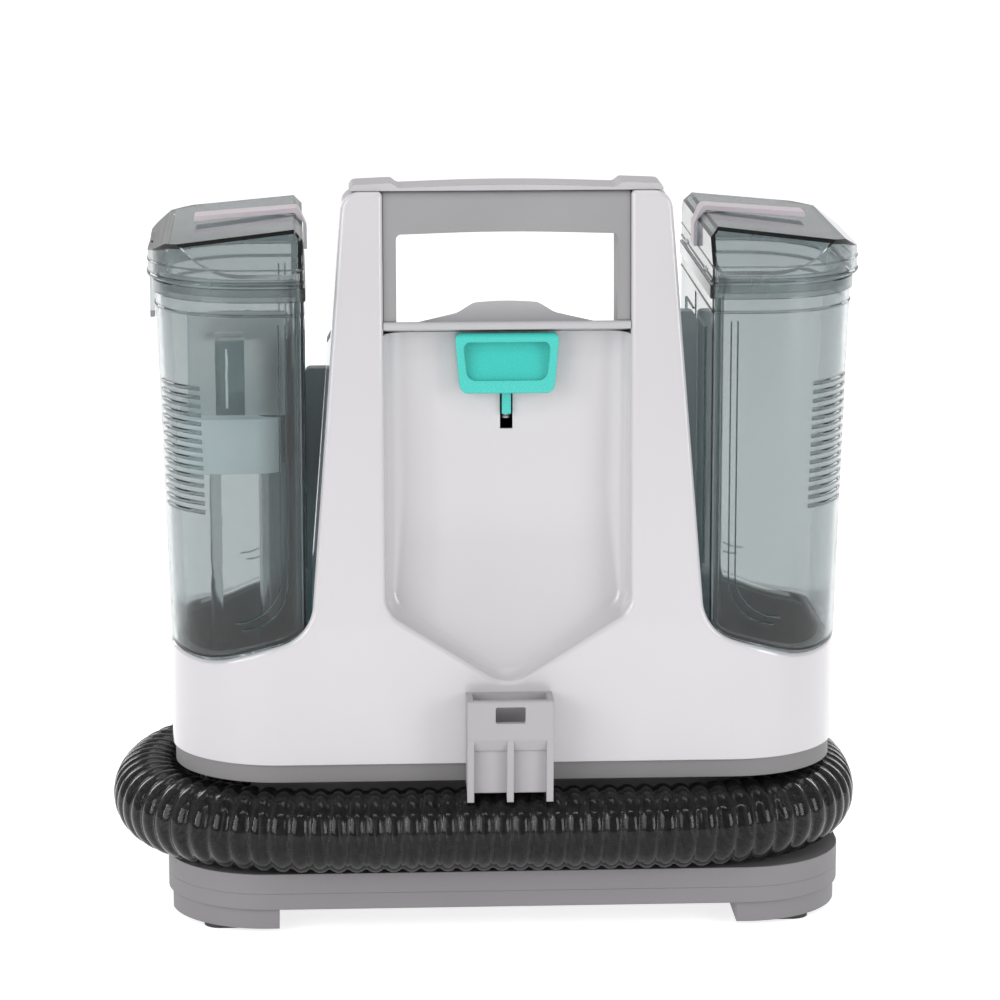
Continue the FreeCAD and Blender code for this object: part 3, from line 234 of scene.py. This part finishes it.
LOOKS = {
    "white_shell": moulded("white_gloss", (0.50, 0.487, 0.503), (0.14, 0.2), 1500.0, 0.03, 0.00003, 0.5),
    "grey_trim": spark_eroded("grey_satin", (0.175, 0.17, 0.174)),
    "light_trim": spark_eroded("light_grey_satin", (0.19, 0.183, 0.19)),
    "dock_grey": spark_eroded("dock_grey", (0.27, 0.285, 0.29), (0.36, 0.46)),
    "dark_plastic": spark_eroded("dark_grey_satin", (0.045, 0.045, 0.046), (0.4, 0.52)),
    "teal": moulded("teal_gloss", (0.034, 0.45, 0.40), (0.2, 0.3), 1500.0, 0.05, 0.00003, 0.4),
    "button_grey": moulded("button_grey", (0.25, 0.25, 0.26), (0.3, 0.4)),
    "smoke_clear": smoked("smoke_clear", (0.54, 0.577, 0.582)),
    "dark_clear": smoked("dark_clear", (0.16, 0.24, 0.245)),
    "milky_clear": smoked("milky_clear", (0.86, 0.88, 0.88), 0.55),
    "pale_strap": moulded("pale_strap", (0.56, 0.50, 0.53), (0.34, 0.44)),
    "float_white": moulded("milky_white", (0.72, 0.76, 0.77), (0.4, 0.5), 700.0, 0.1),
    "hose_black": moulded("hose_black", (0.012, 0.012, 0.013), (0.12, 0.22), 500.0, 0.05, 0.00005, 0.5),
    "black_rubber": rubber("black_rubber", (0.018, 0.018, 0.019)),
    "clear_tube": smoked("clear_tube", (0.72, 0.76, 0.77), 0.25),
    "duct_grey": spark_eroded("duct_grey", (0.05, 0.05, 0.055)),
    "steel": metal("drawn_steel", (0.55, 0.55, 0.57)),
    "impeller_alloy": metal("cast_alloy", (0.72, 0.72, 0.74), (0.3, 0.45), (6.0, 6.0, 1.0)),
    "board_green": circuit("board_green", (0.02, 0.16, 0.07)),
    "filter_foam": foam("filter_foam", (0.09, 0.09, 0.095)),
}
NODE_LOOKS = {
    "deck_cover": spark_eroded("deck_satin", (0.39, 0.387, 0.40)),
    "handle_frame": spark_eroded("handle_satin", (0.245, 0.244, 0.25)),
    "handle_top_cover": spark_eroded("handle_cap_satin", (0.40, 0.39, 0.40)),
    # The neck's grey is set lighter than its plastic: painted light on a wall that sits in shade between
    # the band and the hose.
    "neck_wall": spark_eroded("neck_satin_painted_light", (0.22, 0.218, 0.222)),
    "tool_bracket": spark_eroded("bracket_satin", (0.335, 0.325, 0.338)),
}


def dress_frame():
    """Gives every CAD node the material of its slot, or one of its own."""
    for part in frame["record"]["subparts"]:
        mesh = NODES[part["node"]].data
        mesh.materials.clear()
        mesh.materials.append(NODE_LOOKS.get(part["node"]) or LOOKS[part["material_slot"]])


# ------------------------------------------------------------------ pieces
def piece(name, mesh, slot, body, look=None, smooth=35.0):
    """Makes an object from a mesh, shades it, and puts it on a body."""
    obj = bpy.data.objects.new(name, mesh)
    bpy.context.scene.collection.objects.link(obj)
    mesh.materials.append(look or LOOKS[slot])
    for polygon in mesh.polygons:
        polygon.use_smooth = True
    mesh.set_sharp_from_angle(angle=math.radians(smooth))
    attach(obj, body)
    return obj


def mesh_from(name, vertices, faces):
    mesh = bpy.data.meshes.new(name)
    mesh.from_pydata([tuple(v) for v in vertices], [], faces)
    shape = bmesh.new()
    shape.from_mesh(mesh)
    bmesh.ops.recalc_face_normals(shape, faces=shape.faces)
    shape.to_mesh(mesh)
    shape.free()
    return mesh


def skin(rings, closed_ends=True, loop=False):
    """Vertices and faces over a list of rings of equally many points."""
    count = len(rings[0])
    vertices = [point for one in rings for point in one]
    faces = []
    last = len(rings) if loop else len(rings) - 1
    for i in range(last):
        j = (i + 1) % len(rings)
        for k in range(count):
            n = (k + 1) % count
            faces.append((i * count + k, i * count + n, j * count + n, j * count + k))
    if closed_ends and not loop:
        faces.append(tuple(range(count))[::-1])
        faces.append(tuple(range((len(rings) - 1) * count, len(rings) * count)))
    return vertices, faces


def loft(name, rings, closed_ends=True, loop=False):
    return mesh_from(name, *skin(rings, closed_ends, loop))


def joined(name, parts):
    """One mesh from several (vertices, faces) pairs."""
    vertices, faces = [], []
    for some_vertices, some_faces in parts:
        start = len(vertices)
        vertices += some_vertices
        faces += [tuple(start + k for k in face) for face in some_faces]
    return mesh_from(name, vertices, faces)


def brick(low, high):
    """Vertices and faces of a box between two corners."""
    plan = [(low[0], low[1]), (high[0], low[1]), (high[0], high[1]), (low[0], high[1])]
    return skin([[(x, y, z) for x, y in plan] for z in (low[2], high[2])])


def circle_points(centre, across, up, radius, count):
    points = []
    for k in range(count):
        angle = 2 * math.pi * k / count
        points.append(centre + across * (radius * math.cos(angle)) + up * (radius * math.sin(angle)))
    return points


def wire(line, radius, count=8):
    """A thin round wire along a line of points."""
    rings = []
    for k, spot in enumerate(line):
        ahead, behind = line[min(k + 1, len(line) - 1)], line[max(k - 1, 0)]
        way = (ahead - behind).normalized()
        upright = abs(way.z) > 0.98
        across = (way.orthogonal() if upright else way.cross(Vector((0, 0, 1)))).normalized()
        up = across.cross(way).normalized()
        rings.append(circle_points(spot, across, up, radius, count))
    return skin(rings)


def arc(centre_x, centre_y, radius, start, end, steps):
    """Points round a centre, from one angle to another in degrees."""
    points = []
    for k in range(steps + 1):
        angle = math.radians(start + (end - start) * k / steps)
        points.append((centre_x + radius * math.cos(angle), centre_y + radius * math.sin(angle)))
    return points


# --------------------------------------------------------------- recess tub
RECESS_HALF = 0.05935
RECESS_CORNER_Z = 0.1591
RECESS_APEX_Z = 0.1213
RECESS_TOP = 0.2923
CORNER_RADIUS = 0.014
APEX_RADIUS = 0.018
SIDE_HEIGHTS = [0.180, 0.190, 0.200, 0.210, 0.220, 0.230, 0.238, 0.245, 0.252, 0.260, 0.268, 0.278,
                0.289, RECESS_TOP]
TUB_BLEND = [(0.150, 0.0048), (0.175, 0.0075), (0.215, 0.0120)]
SHELL_EDGE = 0.0023
TUB_STEPS = 10
TUB_WALL = 0.0018
TUB_CRISP_ANGLE = 40
MERGE_DISTANCE = 0.00002
GROOVE_HALF = 0.003
WINDOW_HALF = 0.014
GROOVE_LOW = 0.245
WINDOW_LOW = 0.268
WINDOW_TOP = 0.289
PANEL_LINE = [(0.110, -0.0715), (0.122, -0.0700), (0.170, -0.0625), (0.200, -0.0595), (0.245, -0.0575),
              (0.300, -0.0555)]
FRONT_LINE = [(0.100, -0.0800), (0.140, -0.0799), (0.150, -0.0796), (0.162, -0.0788), (0.361, -0.0645)]


def along(table, z):
    """Straight-line reading of a table of (height, value)."""
    for (low, a), (high, b) in zip(table, table[1:]):
        if z <= high:
            return a + (b - a) * max(0.0, z - low) / (high - low)
    return table[-1][1]


def recess_half_outline():
    """Right half of the recess, from its apex up, with the way inwards."""
    slope = math.atan2(RECESS_CORNER_Z - RECESS_APEX_Z, RECESS_HALF)
    reach = APEX_RADIUS * math.tan(slope / 2)
    apex_centre = RECESS_APEX_Z + APEX_RADIUS / math.cos(slope)
    points = []
    for k in range(9):
        angle = slope * k / 8
        x = APEX_RADIUS * math.sin(angle)
        points.append((x, apex_centre - APEX_RADIUS * math.cos(angle), -math.sin(angle), math.cos(angle)))
    turn = math.pi / 2 - slope
    cut_back = CORNER_RADIUS * math.tan(turn / 2)
    start_x = RECESS_HALF - cut_back * math.cos(slope)
    start_z = RECESS_CORNER_Z - cut_back * math.sin(slope)
    away = RECESS_HALF / math.cos(slope) - cut_back - reach
    for k in range(1, 9):
        left = away * (1 - k / 9)
        points.append((start_x - left * math.cos(slope), start_z - left * math.sin(slope),
                       -math.sin(slope), math.cos(slope)))
    centre_x = RECESS_HALF - CORNER_RADIUS
    centre_z = RECESS_CORNER_Z + cut_back
    for k in range(10):
        angle = slope + turn * k / 9
        across, up = math.sin(angle), math.cos(angle)
        points.append((centre_x + CORNER_RADIUS * across, centre_z - CORNER_RADIUS * up, -across, up))
    for z in SIDE_HEIGHTS:
        points.append((RECESS_HALF, z, -1.0, 0.0))
    return points


def recess_tub():
    """Front recess whose walls sweep into its floor, with the latch's openings."""
    half = recess_half_outline()
    rings = []
    for j in range(TUB_STEPS + 1):
        share = j / TUB_STEPS
        depth_share = math.sqrt(max(0.0, 1 - (1 - share) ** 2))
        ring = []
        for x, z, nx, nz in half:
            inward = along(TUB_BLEND, z) * share
            at_x, at_z = x + nx * inward, z + nz * inward
            front, floor = along(FRONT_LINE, z) + SHELL_EDGE, along(PANEL_LINE, at_z)
            ring.append(Vector((at_x, front + (floor - front) * depth_share, at_z)))
        rings.append(ring)
    vertices, faces = [], []
    count = len(half)
    for ring in rings:
        vertices += [Vector((-p.x, p.y, p.z)) for p in reversed(ring[1:])] + ring
    width = 2 * count - 1
    for j in range(TUB_STEPS):
        for k in range(width - 1):
            a = j * width + k
            faces.append((a, a + 1, a + 1 + width, a + width))
    vertices, faces = add_floor(vertices, faces, rings[-1])
    mesh = mesh_from("recess_tub", vertices, faces)
    shape = bmesh.new()
    shape.from_mesh(mesh)
    bmesh.ops.remove_doubles(shape, verts=shape.verts, dist=MERGE_DISTANCE)
    bmesh.ops.recalc_face_normals(shape, faces=shape.faces)
    shape.to_mesh(mesh)
    shape.free()
    tub = piece("recess_tub", mesh, "white_shell", "chassis", smooth=60.0)
    wall = tub.modifiers.new("wall", "SOLIDIFY")
    wall.thickness = TUB_WALL
    wall.offset = 1.0 if mesh.polygons[0].normal.y > 0 else -1.0
    crisp = tub.modifiers.new("crisp_rims", "EDGE_SPLIT")
    crisp.split_angle = math.radians(TUB_CRISP_ANGLE)
    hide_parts("recess_panel")


def add_floor(vertices, faces, edge):
    """Fills between the halves of the innermost ring, round the openings."""
    columns = (-WINDOW_HALF, -GROOVE_HALF, GROOVE_HALF, WINDOW_HALF)
    rows = []
    for p in edge:
        inner = [x for x in columns if abs(x) < p.x - 0.002]
        if len(inner) < len(columns):
            inner = [p.x * share for share in (-0.6, -0.2, 0.2, 0.6)]
        rows.append([Vector((x, p.y, p.z)) for x in [-p.x, *inner, p.x]])
    start = len(vertices)
    vertices = vertices + [p for row in rows for p in row]
    wide = len(rows[0])
    for j in range(len(rows) - 1):
        middle = (rows[j][0].z + rows[j + 1][0].z) / 2
        for k in range(wide - 1):
            groove = k == 2 and GROOVE_LOW < middle < WINDOW_LOW
            window = 1 <= k <= 3 and WINDOW_LOW < middle < WINDOW_TOP
            if not (groove or window):
                a = start + j * wide + k
                faces.append((a, a + 1, a + 1 + wide, a + wide))
    return vertices, faces


# ------------------------------------------------------------- tank details
TANK_NEAR = 0.0973
TANK_FAR = 0.1636
TANK_SPREAD = 0.0054
TANK_HALF_Y = 0.0794
TANK_CORNER = 0.046
NEAR_CORNER = 0.004
TANK_FOOT_Z = 0.140
TANK_MOUTH_Z = 0.318
LID_FAR = 0.172
GRIP_RIBS = 15
GRIP_FIRST_Z = 0.208
GRIP_PITCH = 0.0043
GRIP_PROUD = 0.0006
GRIP_START = -56
GRIP_SWEEP = 42
GRIP_SECTION = ((-0.0011, -0.0003), (-0.0005, GRIP_PROUD), (0.0005, GRIP_PROUD), (0.0011, -0.0003))
# Dark beads down the near corners of a tank: painted shade.
SHADE_BEAD_X = 0.1006
SHADE_BEAD_Y = 0.0758
SHADE_BEAD_LOW = 0.152
SHADE_BEAD_HIGH = 0.311
SHADE_BEAD_RADIUS = 0.0009
FRAME_Y = 0.048
FRAME_GAP_Y = 0.012
FRAME_LOW = 0.175
FRAME_HIGH = 0.292
FRAME_WIRE = 0.0005
CLIP_Y = 0.046
CLIP_HALF = 0.0045
CLIP_LOW = 0.3192
CLIP_HIGH = 0.3212
TANKS = {
    "recovery": (-1.0, "recovery_tank", "recovery_lid_body"),
    "clean": (1.0, "clean_tank", "clean_lid_body"),
}


def tank_far(z):
    """Where a tank's outer side stands at a height."""
    return TANK_FAR + TANK_SPREAD * (z - TANK_FOOT_Z) / (TANK_MOUTH_Z - TANK_FOOT_Z)


def tank_ring(side, z, out, far=None):
    """Plan of a tank at a height, grown outwards."""
    x = (far or tank_far(z)) - TANK_CORNER
    y = TANK_HALF_Y - TANK_CORNER
    near_x, near_y = TANK_NEAR + NEAR_CORNER, TANK_HALF_Y - NEAR_CORNER
    plan = arc(x, -y, TANK_CORNER + out, -90, 0, 18) + arc(x, y, TANK_CORNER + out, 0, 90, 18)
    plan += arc(near_x, near_y, NEAR_CORNER + out, 90, 180, 5)
    plan += arc(near_x, -near_y, NEAR_CORNER + out, 180, 270, 5)
    return [Vector((side * a, b, z)) for a, b in plan]


def tank_band(side, low, high, out, inner=-0.0004, far=None):
    """A raised band right round a tank, with softened edges."""
    soft = min(0.0004, (high - low) / 4)
    outline = [(low, inner), (low, out - soft), (low + soft, out), (high - soft, out), (high, out - soft),
               (high, inner)]
    return skin([tank_ring(side, z, o, far) for z, o in outline], loop=True)


def grip_ribs(side):
    """Rows of fine finger ribs round an outer corner, fading at both ends."""
    parts = []
    for n in range(GRIP_RIBS):
        z = GRIP_FIRST_Z + GRIP_PITCH * n
        x, y = tank_far(z) - TANK_CORNER, TANK_HALF_Y - TANK_CORNER
        rings = []
        steps = 16
        for k in range(steps + 1):
            angle = math.radians(GRIP_START + GRIP_SWEEP * k / steps)
            fade = min(1.0, 4 * min(k, steps - k) / steps)
            across = Vector((side * math.cos(angle), math.sin(angle), 0))
            middle = Vector((side * x, -y, z))
            ring = []
            for up, out in GRIP_SECTION:
                if out > 0:
                    out = GRIP_PROUD * fade
                ring.append(middle + across * (TANK_CORNER + out) + Vector((0, 0, up)))
            rings.append(ring)
        parts.append(skin(rings))
    return parts


def contour_lines(side, back):
    """Two fine raised lines down a flat side that turn out above the rim."""
    parts = []
    y = (TANK_HALF_Y + 0.0001) * (1 if back else -1)
    for offset in (0.0, 0.0032):
        x, bend, low = 0.1062 + offset, 0.022, 0.1515 + offset
        line = [Vector((side * x, y, 0.300 - 0.010 * k)) for k in range(13)]
        for k in range(11):
            angle = math.radians(180 + 90 * k / 10)
            out, up = bend * (1 + math.cos(angle)), bend * (1 + math.sin(angle))
            line.append(Vector((side * (x + out), y, low + up)))
        parts.append(wire(line, 0.00035, 6))
    return parts


def corner_shade_beads(side):
    """Dark beads inside the near corners, the height of a tank: painted shade for the dark line that the
    clear corner shows.
    """
    parts = []
    for y in (-SHADE_BEAD_Y, SHADE_BEAD_Y):
        line = [Vector((side * SHADE_BEAD_X, y, SHADE_BEAD_LOW)), Vector((side * SHADE_BEAD_X, y, SHADE_BEAD_HIGH))]
        parts.append(wire(line, SHADE_BEAD_RADIUS, 10))
    return parts


def side_frame(side):
    """Raised frame on the inner side that faces the column, open in the middle of its top."""
    x = TANK_NEAR - 0.0002
    parts = []
    for y in (-FRAME_Y, FRAME_Y):
        upright = [Vector((side * x, y, FRAME_LOW)), Vector((side * x, y, FRAME_HIGH))]
        parts.append(wire(upright, FRAME_WIRE, 6))
    for start, end in ((-FRAME_Y, -FRAME_GAP_Y), (FRAME_GAP_Y, FRAME_Y)):
        top = [Vector((side * x, start, FRAME_HIGH)), Vector((side * x, end, FRAME_HIGH))]
        parts.append(wire(top, FRAME_WIRE, 6))
    return parts


def seam_clips(side):
    """Small pale stops on the lid's seam, over the inner side."""
    parts = []
    for y in (-CLIP_Y, CLIP_Y):
        near, far = sorted((side * (TANK_NEAR - 0.0006), side * (TANK_NEAR + 0.0006)))
        parts.append(brick((near, y - CLIP_HALF, CLIP_LOW), (far, y + CLIP_HALF, CLIP_HIGH)))
    return parts


def dress_tanks():
    """All of the trim on both tanks and their lids."""
    for name, (side, body, lid) in TANKS.items():
        bands = [tank_band(side, 0.3105, 0.3172, 0.0011), tank_band(side, 0.3035, 0.3050, 0.0005)]
        piece(name + "_mouth_bands", joined(name + "_mouth_bands", bands), "smoke_clear", body)
        skirt = [tank_band(side, 0.3186, 0.3204, 0.0006, far=LID_FAR)]
        skirt.append(tank_band(side, 0.3255, 0.3264, 0.0004, far=LID_FAR))
        piece(name + "_lid_bands", joined(name + "_lid_bands", skirt), "smoke_clear", lid)
        ribs = joined(name + "_grip_ribs", grip_ribs(side))
        piece(name + "_grip_ribs", ribs, "smoke_clear", body, smooth=50.0)
        # The raised lines and the side frame are real, but they are drawn in the dark tint: painted shade
        # for the dark that clear plastic shows along them.
        lines = contour_lines(side, False) + contour_lines(side, True) + side_frame(side)
        piece(name + "_contour_lines", joined(name + "_contour_lines", lines), "smoke_clear", body,
              LOOKS["dark_clear"], 60.0)
        # Painted shade: dark beads down the near corners, not a part of the tank.
        shade_beads = joined(name + "_corner_shade_beads", corner_shade_beads(side))
        piece(name + "_corner_shade_beads", shade_beads, "smoke_clear", body, LOOKS["dark_clear"], 60.0)
        piece(name + "_seam_clips", joined(name + "_seam_clips", seam_clips(side)), "pale_strap", lid)


SHROUD_Y = -0.0445
SHROUD_LOW = 0.2505
SHROUD_HIGH = 0.3010
SHROUD_FAR = -0.1530
SHROUD_NEAR = -0.1060
WINDOW_FAR = -0.1400
WINDOW_NEAR = -0.1260
GLINT_X = -0.1345


def separator_shroud():
    """Milky screen in front of the pipes, with a dark window down its middle and a painted glint on that
    window.
    """
    front, back = SHROUD_Y - 0.0007, SHROUD_Y + 0.0007
    sill = SHROUD_HIGH - 0.010
    panels = [brick((SHROUD_FAR, front, SHROUD_LOW), (WINDOW_FAR, back, sill)),
              brick((WINDOW_NEAR, front, SHROUD_LOW), (SHROUD_NEAR, back, sill)),
              brick((SHROUD_FAR, front, sill), (SHROUD_NEAR, back, SHROUD_HIGH))]
    for x in (SHROUD_FAR, -0.1070):
        panels.append(brick((x, SHROUD_Y, SHROUD_LOW), (x + 0.0010, -0.0385, SHROUD_HIGH)))
    piece("separator_shroud", joined("separator_shroud", panels), "float_white", "recovery_tank",
          LOOKS["milky_clear"])
    window_top = SHROUD_HIGH - 0.014
    window = brick((WINDOW_FAR, SHROUD_Y - 0.0003, SHROUD_LOW),
                   (WINDOW_NEAR, SHROUD_Y + 0.0003, window_top))
    # A pale wire just in front of the dark window: a painted glint, not a part.
    glint_y = SHROUD_Y - 0.0012
    painted_glint_line = [Vector((GLINT_X, glint_y, 0.254)), Vector((GLINT_X, glint_y, 0.283))]
    piece("separator_window", joined("separator_window", [window]), "smoke_clear", "recovery_tank",
          LOOKS["dark_clear"])
    piece("separator_glint", joined("separator_glint", [wire(painted_glint_line, 0.0006)]), "float_white",
          "recovery_tank")


# -------------------------------------------------------------------- hose
HOSE_Z = 0.0516
RIB_PITCH = 0.0088
RIB_CREST = 0.0206
RIB_DEPTH = 0.0024
RIB_ROUNDNESS = 0.6
BEAD_HEIGHT = 0.45
BEAD_WIDTH = 0.08
HOSE_STEPS_A_RIB = 14
HOSE_SIDES = 48
COIL_STEPS_A_TURN = 12
COIL_RADIUS = 0.0011
COIL_INSET = 0.0022
HOSE_ROUTE = [
    (-0.005, 0.081), (-0.036, 0.081), (-0.073, 0.0825), (-0.111, 0.08), (-0.146, 0.066),
    (-0.169, 0.036), (-0.176, -0.002), (-0.170, -0.039), (-0.146, -0.068), (-0.109, -0.081),
    (-0.069, -0.0825), (-0.028, -0.082), (0.014, -0.0827), (0.056, -0.082), (0.098, -0.0805),
    (0.134, -0.067), (0.154, -0.038), (0.159, -0.004), (0.156, 0.031), (0.139, 0.064), (0.111, 0.081),
    (0.084, 0.081),
]


def route_line(name, points):
    """Points along the smooth line that a route's control points give."""
    curve = bpy.data.curves.new(name, "CURVE")
    curve.dimensions = "3D"
    spline = curve.splines.new("NURBS")
    spline.points.add(len(points) - 1)
    for control, spot in zip(spline.points, points):
        control.co = (*spot, 1.0)
    spline.order_u = 3
    spline.use_endpoint_u = True
    spline.resolution_u = 24
    holder = bpy.data.objects.new(name, curve)
    bpy.context.scene.collection.objects.link(holder)
    mesh = bpy.data.meshes.new_from_object(holder)
    line = [v.co.copy() for v in mesh.vertices]
    bpy.data.objects.remove(holder)
    bpy.data.meshes.remove(mesh)
    return line


def walk(line, step):
    """Places and headings at even steps along a line of points."""
    lengths = [0.0]
    for a, b in zip(line, line[1:]):
        lengths.append(lengths[-1] + (b - a).length)
    count = max(2, round(lengths[-1] / step))
    spots, i = [], 0
    for k in range(count + 1):
        wanted = lengths[-1] * k / count
        while i < len(line) - 2 and lengths[i + 1] < wanted:
            i += 1
        share = (wanted - lengths[i]) / max(1e-9, lengths[i + 1] - lengths[i])
        spots.append((line[i].lerp(line[i + 1], share), wanted))
    return spots, lengths[-1]


def headings(spots):
    """Direction of travel at each place along a walked line."""
    ways = []
    for k in range(len(spots)):
        ahead = spots[min(k + 1, len(spots) - 1)][0]
        behind = spots[max(k - 1, 0)][0]
        ways.append((ahead - behind).normalized())
    return ways


def rib_radius(distance, crest, valley):
    """Hose wall: broad round ribs, creases between them, and a fine bead in each."""
    phase = (distance / RIB_PITCH) % 1.0
    wave = abs(math.sin(math.pi * phase)) ** RIB_ROUNDNESS
    bead = BEAD_HEIGHT * max(0.0, 1 - (min(phase, 1 - phase) / BEAD_WIDTH) ** 2)
    return valley + (crest - valley) * max(wave, bead)


def hose_material():
    """Dark translucent hose skin, paler where it bulges in the light."""
    material, tree, shader = new_material("hose_skin")
    weight = tree.nodes.new("ShaderNodeLayerWeight")
    weight.inputs["Blend"].default_value = 0.45
    streak = noise(tree, place(tree), 320.0, 4.0, 0.6)
    tone = ramp(tree, streak, [(0.35, (0.002, 0.002, 0.0022)), (0.8, (0.014, 0.0142, 0.015))])
    tree.links.new(tone, shader.inputs["Base Color"])
    alpha = spread(tree, weight.outputs["Facing"], 0.84, 1.0, 0.1, 0.8)
    tree.links.new(alpha, shader.inputs["Alpha"])
    tree.links.new(spread(tree, streak, 0.04, 0.14), shader.inputs["Roughness"])
    shader.inputs["Specular IOR Level"].default_value = 0.16
    shader.inputs["Coat Weight"].default_value = 0.22
    shader.inputs["Coat Roughness"].default_value = 0.03
    bump(tree, shader, streak, 0.12, 0.0002)
    return material


def make_hose():
    """Ribbed hose round the neck, and the wire coil inside it."""
    route = [(x, y, HOSE_Z) for x, y in HOSE_ROUTE]
    line = route_line("hose_line", route)
    spots, length = walk(line, RIB_PITCH / HOSE_STEPS_A_RIB)
    ways = headings(spots)
    rings = []
    crest, valley = RIB_CREST, RIB_CREST - RIB_DEPTH
    for (spot, distance), way in zip(spots, ways):
        across = way.cross(Vector((0, 0, 1))).normalized()
        up = across.cross(way).normalized()
        radius = rib_radius(distance, crest, valley)
        rings.append(circle_points(spot, across, up, radius, HOSE_SIDES))
    hose = piece("ribbed_hose", loft("ribbed_hose", rings), "hose_black", "chassis", hose_material(), 80.0)
    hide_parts("suction_hose")

    coil_spots, _ = walk(line, RIB_PITCH / COIL_STEPS_A_TURN)
    coil_ways = headings(coil_spots)
    coil_line = []
    for (spot, distance), way in zip(coil_spots, coil_ways):
        across = way.cross(Vector((0, 0, 1))).normalized()
        turn = 2 * math.pi * distance / RIB_PITCH
        up = Vector((0, 0, 1))
        coil_line.append(spot + (across * math.cos(turn) + up * math.sin(turn)) * (valley - COIL_INSET))
    coil = mesh_from("hose_coil", *wire(coil_line, COIL_RADIUS, 6))
    coil_piece = piece("hose_coil", coil, "steel", "chassis", LOOKS["steel"], 60.0)
    return hose, coil_piece, line, length


# -------------------------------------------------------------- surroundings
VIEW_AZIMUTH = -3.0
VIEW_ELEVATION = 12.0
VIEW_DISTANCE = 2.0
VIEW_TARGET = Vector((0.0, 0.0, 0.19))
LENS = 144.0
SENSOR_WIDTH = 36.0
VIEW_SHIFT_UP = 0.015
FAR_CLIP = 50.0


def make_camera():
    """Long lens at the front, a little to the left and above."""
    azimuth, elevation = math.radians(VIEW_AZIMUTH), math.radians(VIEW_ELEVATION)
    back = Vector((math.sin(azimuth) * math.cos(elevation), -math.cos(azimuth) * math.cos(elevation),
                   math.sin(elevation)))
    data = bpy.data.cameras.new("camera")
    data.lens = LENS
    data.sensor_width = SENSOR_WIDTH
    data.shift_y = VIEW_SHIFT_UP
    data.clip_end = FAR_CLIP
    camera = bpy.data.objects.new("camera", data)
    camera.location = VIEW_TARGET + back * VIEW_DISTANCE
    camera.rotation_euler = (-back).to_track_quat("-Z", "Y").to_euler()
    bpy.context.scene.collection.objects.link(camera)
    bpy.context.scene.camera = camera


LIGHT_AIM = (0, 0, 0.2)
LIGHTS = [
    ("left_box", (-1.45, -1.40, 0.85), (1.1, 1.3), 16.5),
    ("right_box", (1.50, -1.30, 0.65), (0.7, 1.0), 13.5),
    ("left_strip", (-1.75, -1.0, 0.9), (0.12, 1.2), 5.5),
    ("high_strip", (0.0, -1.3, 1.9), (1.6, 0.12), 4.5),
    ("top", (0.1, 0.3, 2.0), (1.4, 1.0), 11.0),
    ("back_left", (-1.2, 1.6, 0.9), (0.4, 1.2), 7.0),
    ("back_right", (1.3, 1.5, 0.9), (0.4, 1.2), 7.0),
]


def area_light(name, location, size, power):
    """One rectangular soft light, aimed at the middle of the machine."""
    data = bpy.data.lights.new(name, "AREA")
    data.shape = "RECTANGLE"
    data.size, data.size_y = size
    data.energy = power
    light = bpy.data.objects.new(name, data)
    light.location = location
    light.rotation_euler = (Vector(LIGHT_AIM) - Vector(location)).to_track_quat("-Z", "Y").to_euler()
    bpy.context.scene.collection.objects.link(light)


AMBIENT = 0.5
FLOOR_GLOW = 0.72
FLOOR_HALF = 6


def make_studio():
    """Pale floor, soft lights and a white surround."""
    far = FLOOR_HALF
    corners = [(-far, -far, 0), (far, -far, 0), (far, far, 0), (-far, far, 0)]
    floor_mesh = mesh_from("floor", corners, [(0, 1, 2, 3)])
    floor = bpy.data.objects.new("floor", floor_mesh)
    bpy.context.scene.collection.objects.link(floor)
    material, tree, shader = new_material("floor_paper")
    grain = noise(tree, place(tree), 60.0, 4.0)
    tone = ramp(tree, grain, [(0.3, (0.58, 0.58, 0.58)), (0.7, (0.60, 0.60, 0.60))])
    tree.links.new(tone, shader.inputs["Base Color"])
    shader.inputs["Roughness"].default_value = 0.7
    shader.inputs["Specular IOR Level"].default_value = 0.2
    shader.inputs["Emission Color"].default_value = (1.0, 1.0, 1.0, 1.0)
    shader.inputs["Emission Strength"].default_value = FLOOR_GLOW
    floor_mesh.materials.append(material)

    world = bpy.data.worlds.new("surround")
    world.use_nodes = True
    tree = world.node_tree
    background = tree.nodes["Background"]
    background.inputs["Color"].default_value = (1.0, 1.0, 1.0, 1.0)
    path = tree.nodes.new("ShaderNodeLightPath")
    seen = spread(tree, path.outputs["Is Camera Ray"], AMBIENT, 1.0, 0.0, 1.0)
    tree.links.new(seen, background.inputs["Strength"])
    bpy.context.scene.world = world
    for name, location, size, power in LIGHTS:
        area_light(name, location, size, power)
    bpy.context.scene.view_settings.view_transform = "Standard"


make_camera()
hose, coil, hose_line, hose_length = make_hose()
dress_frame()
recess_tub()
dress_tanks()
separator_shroud()
make_studio()
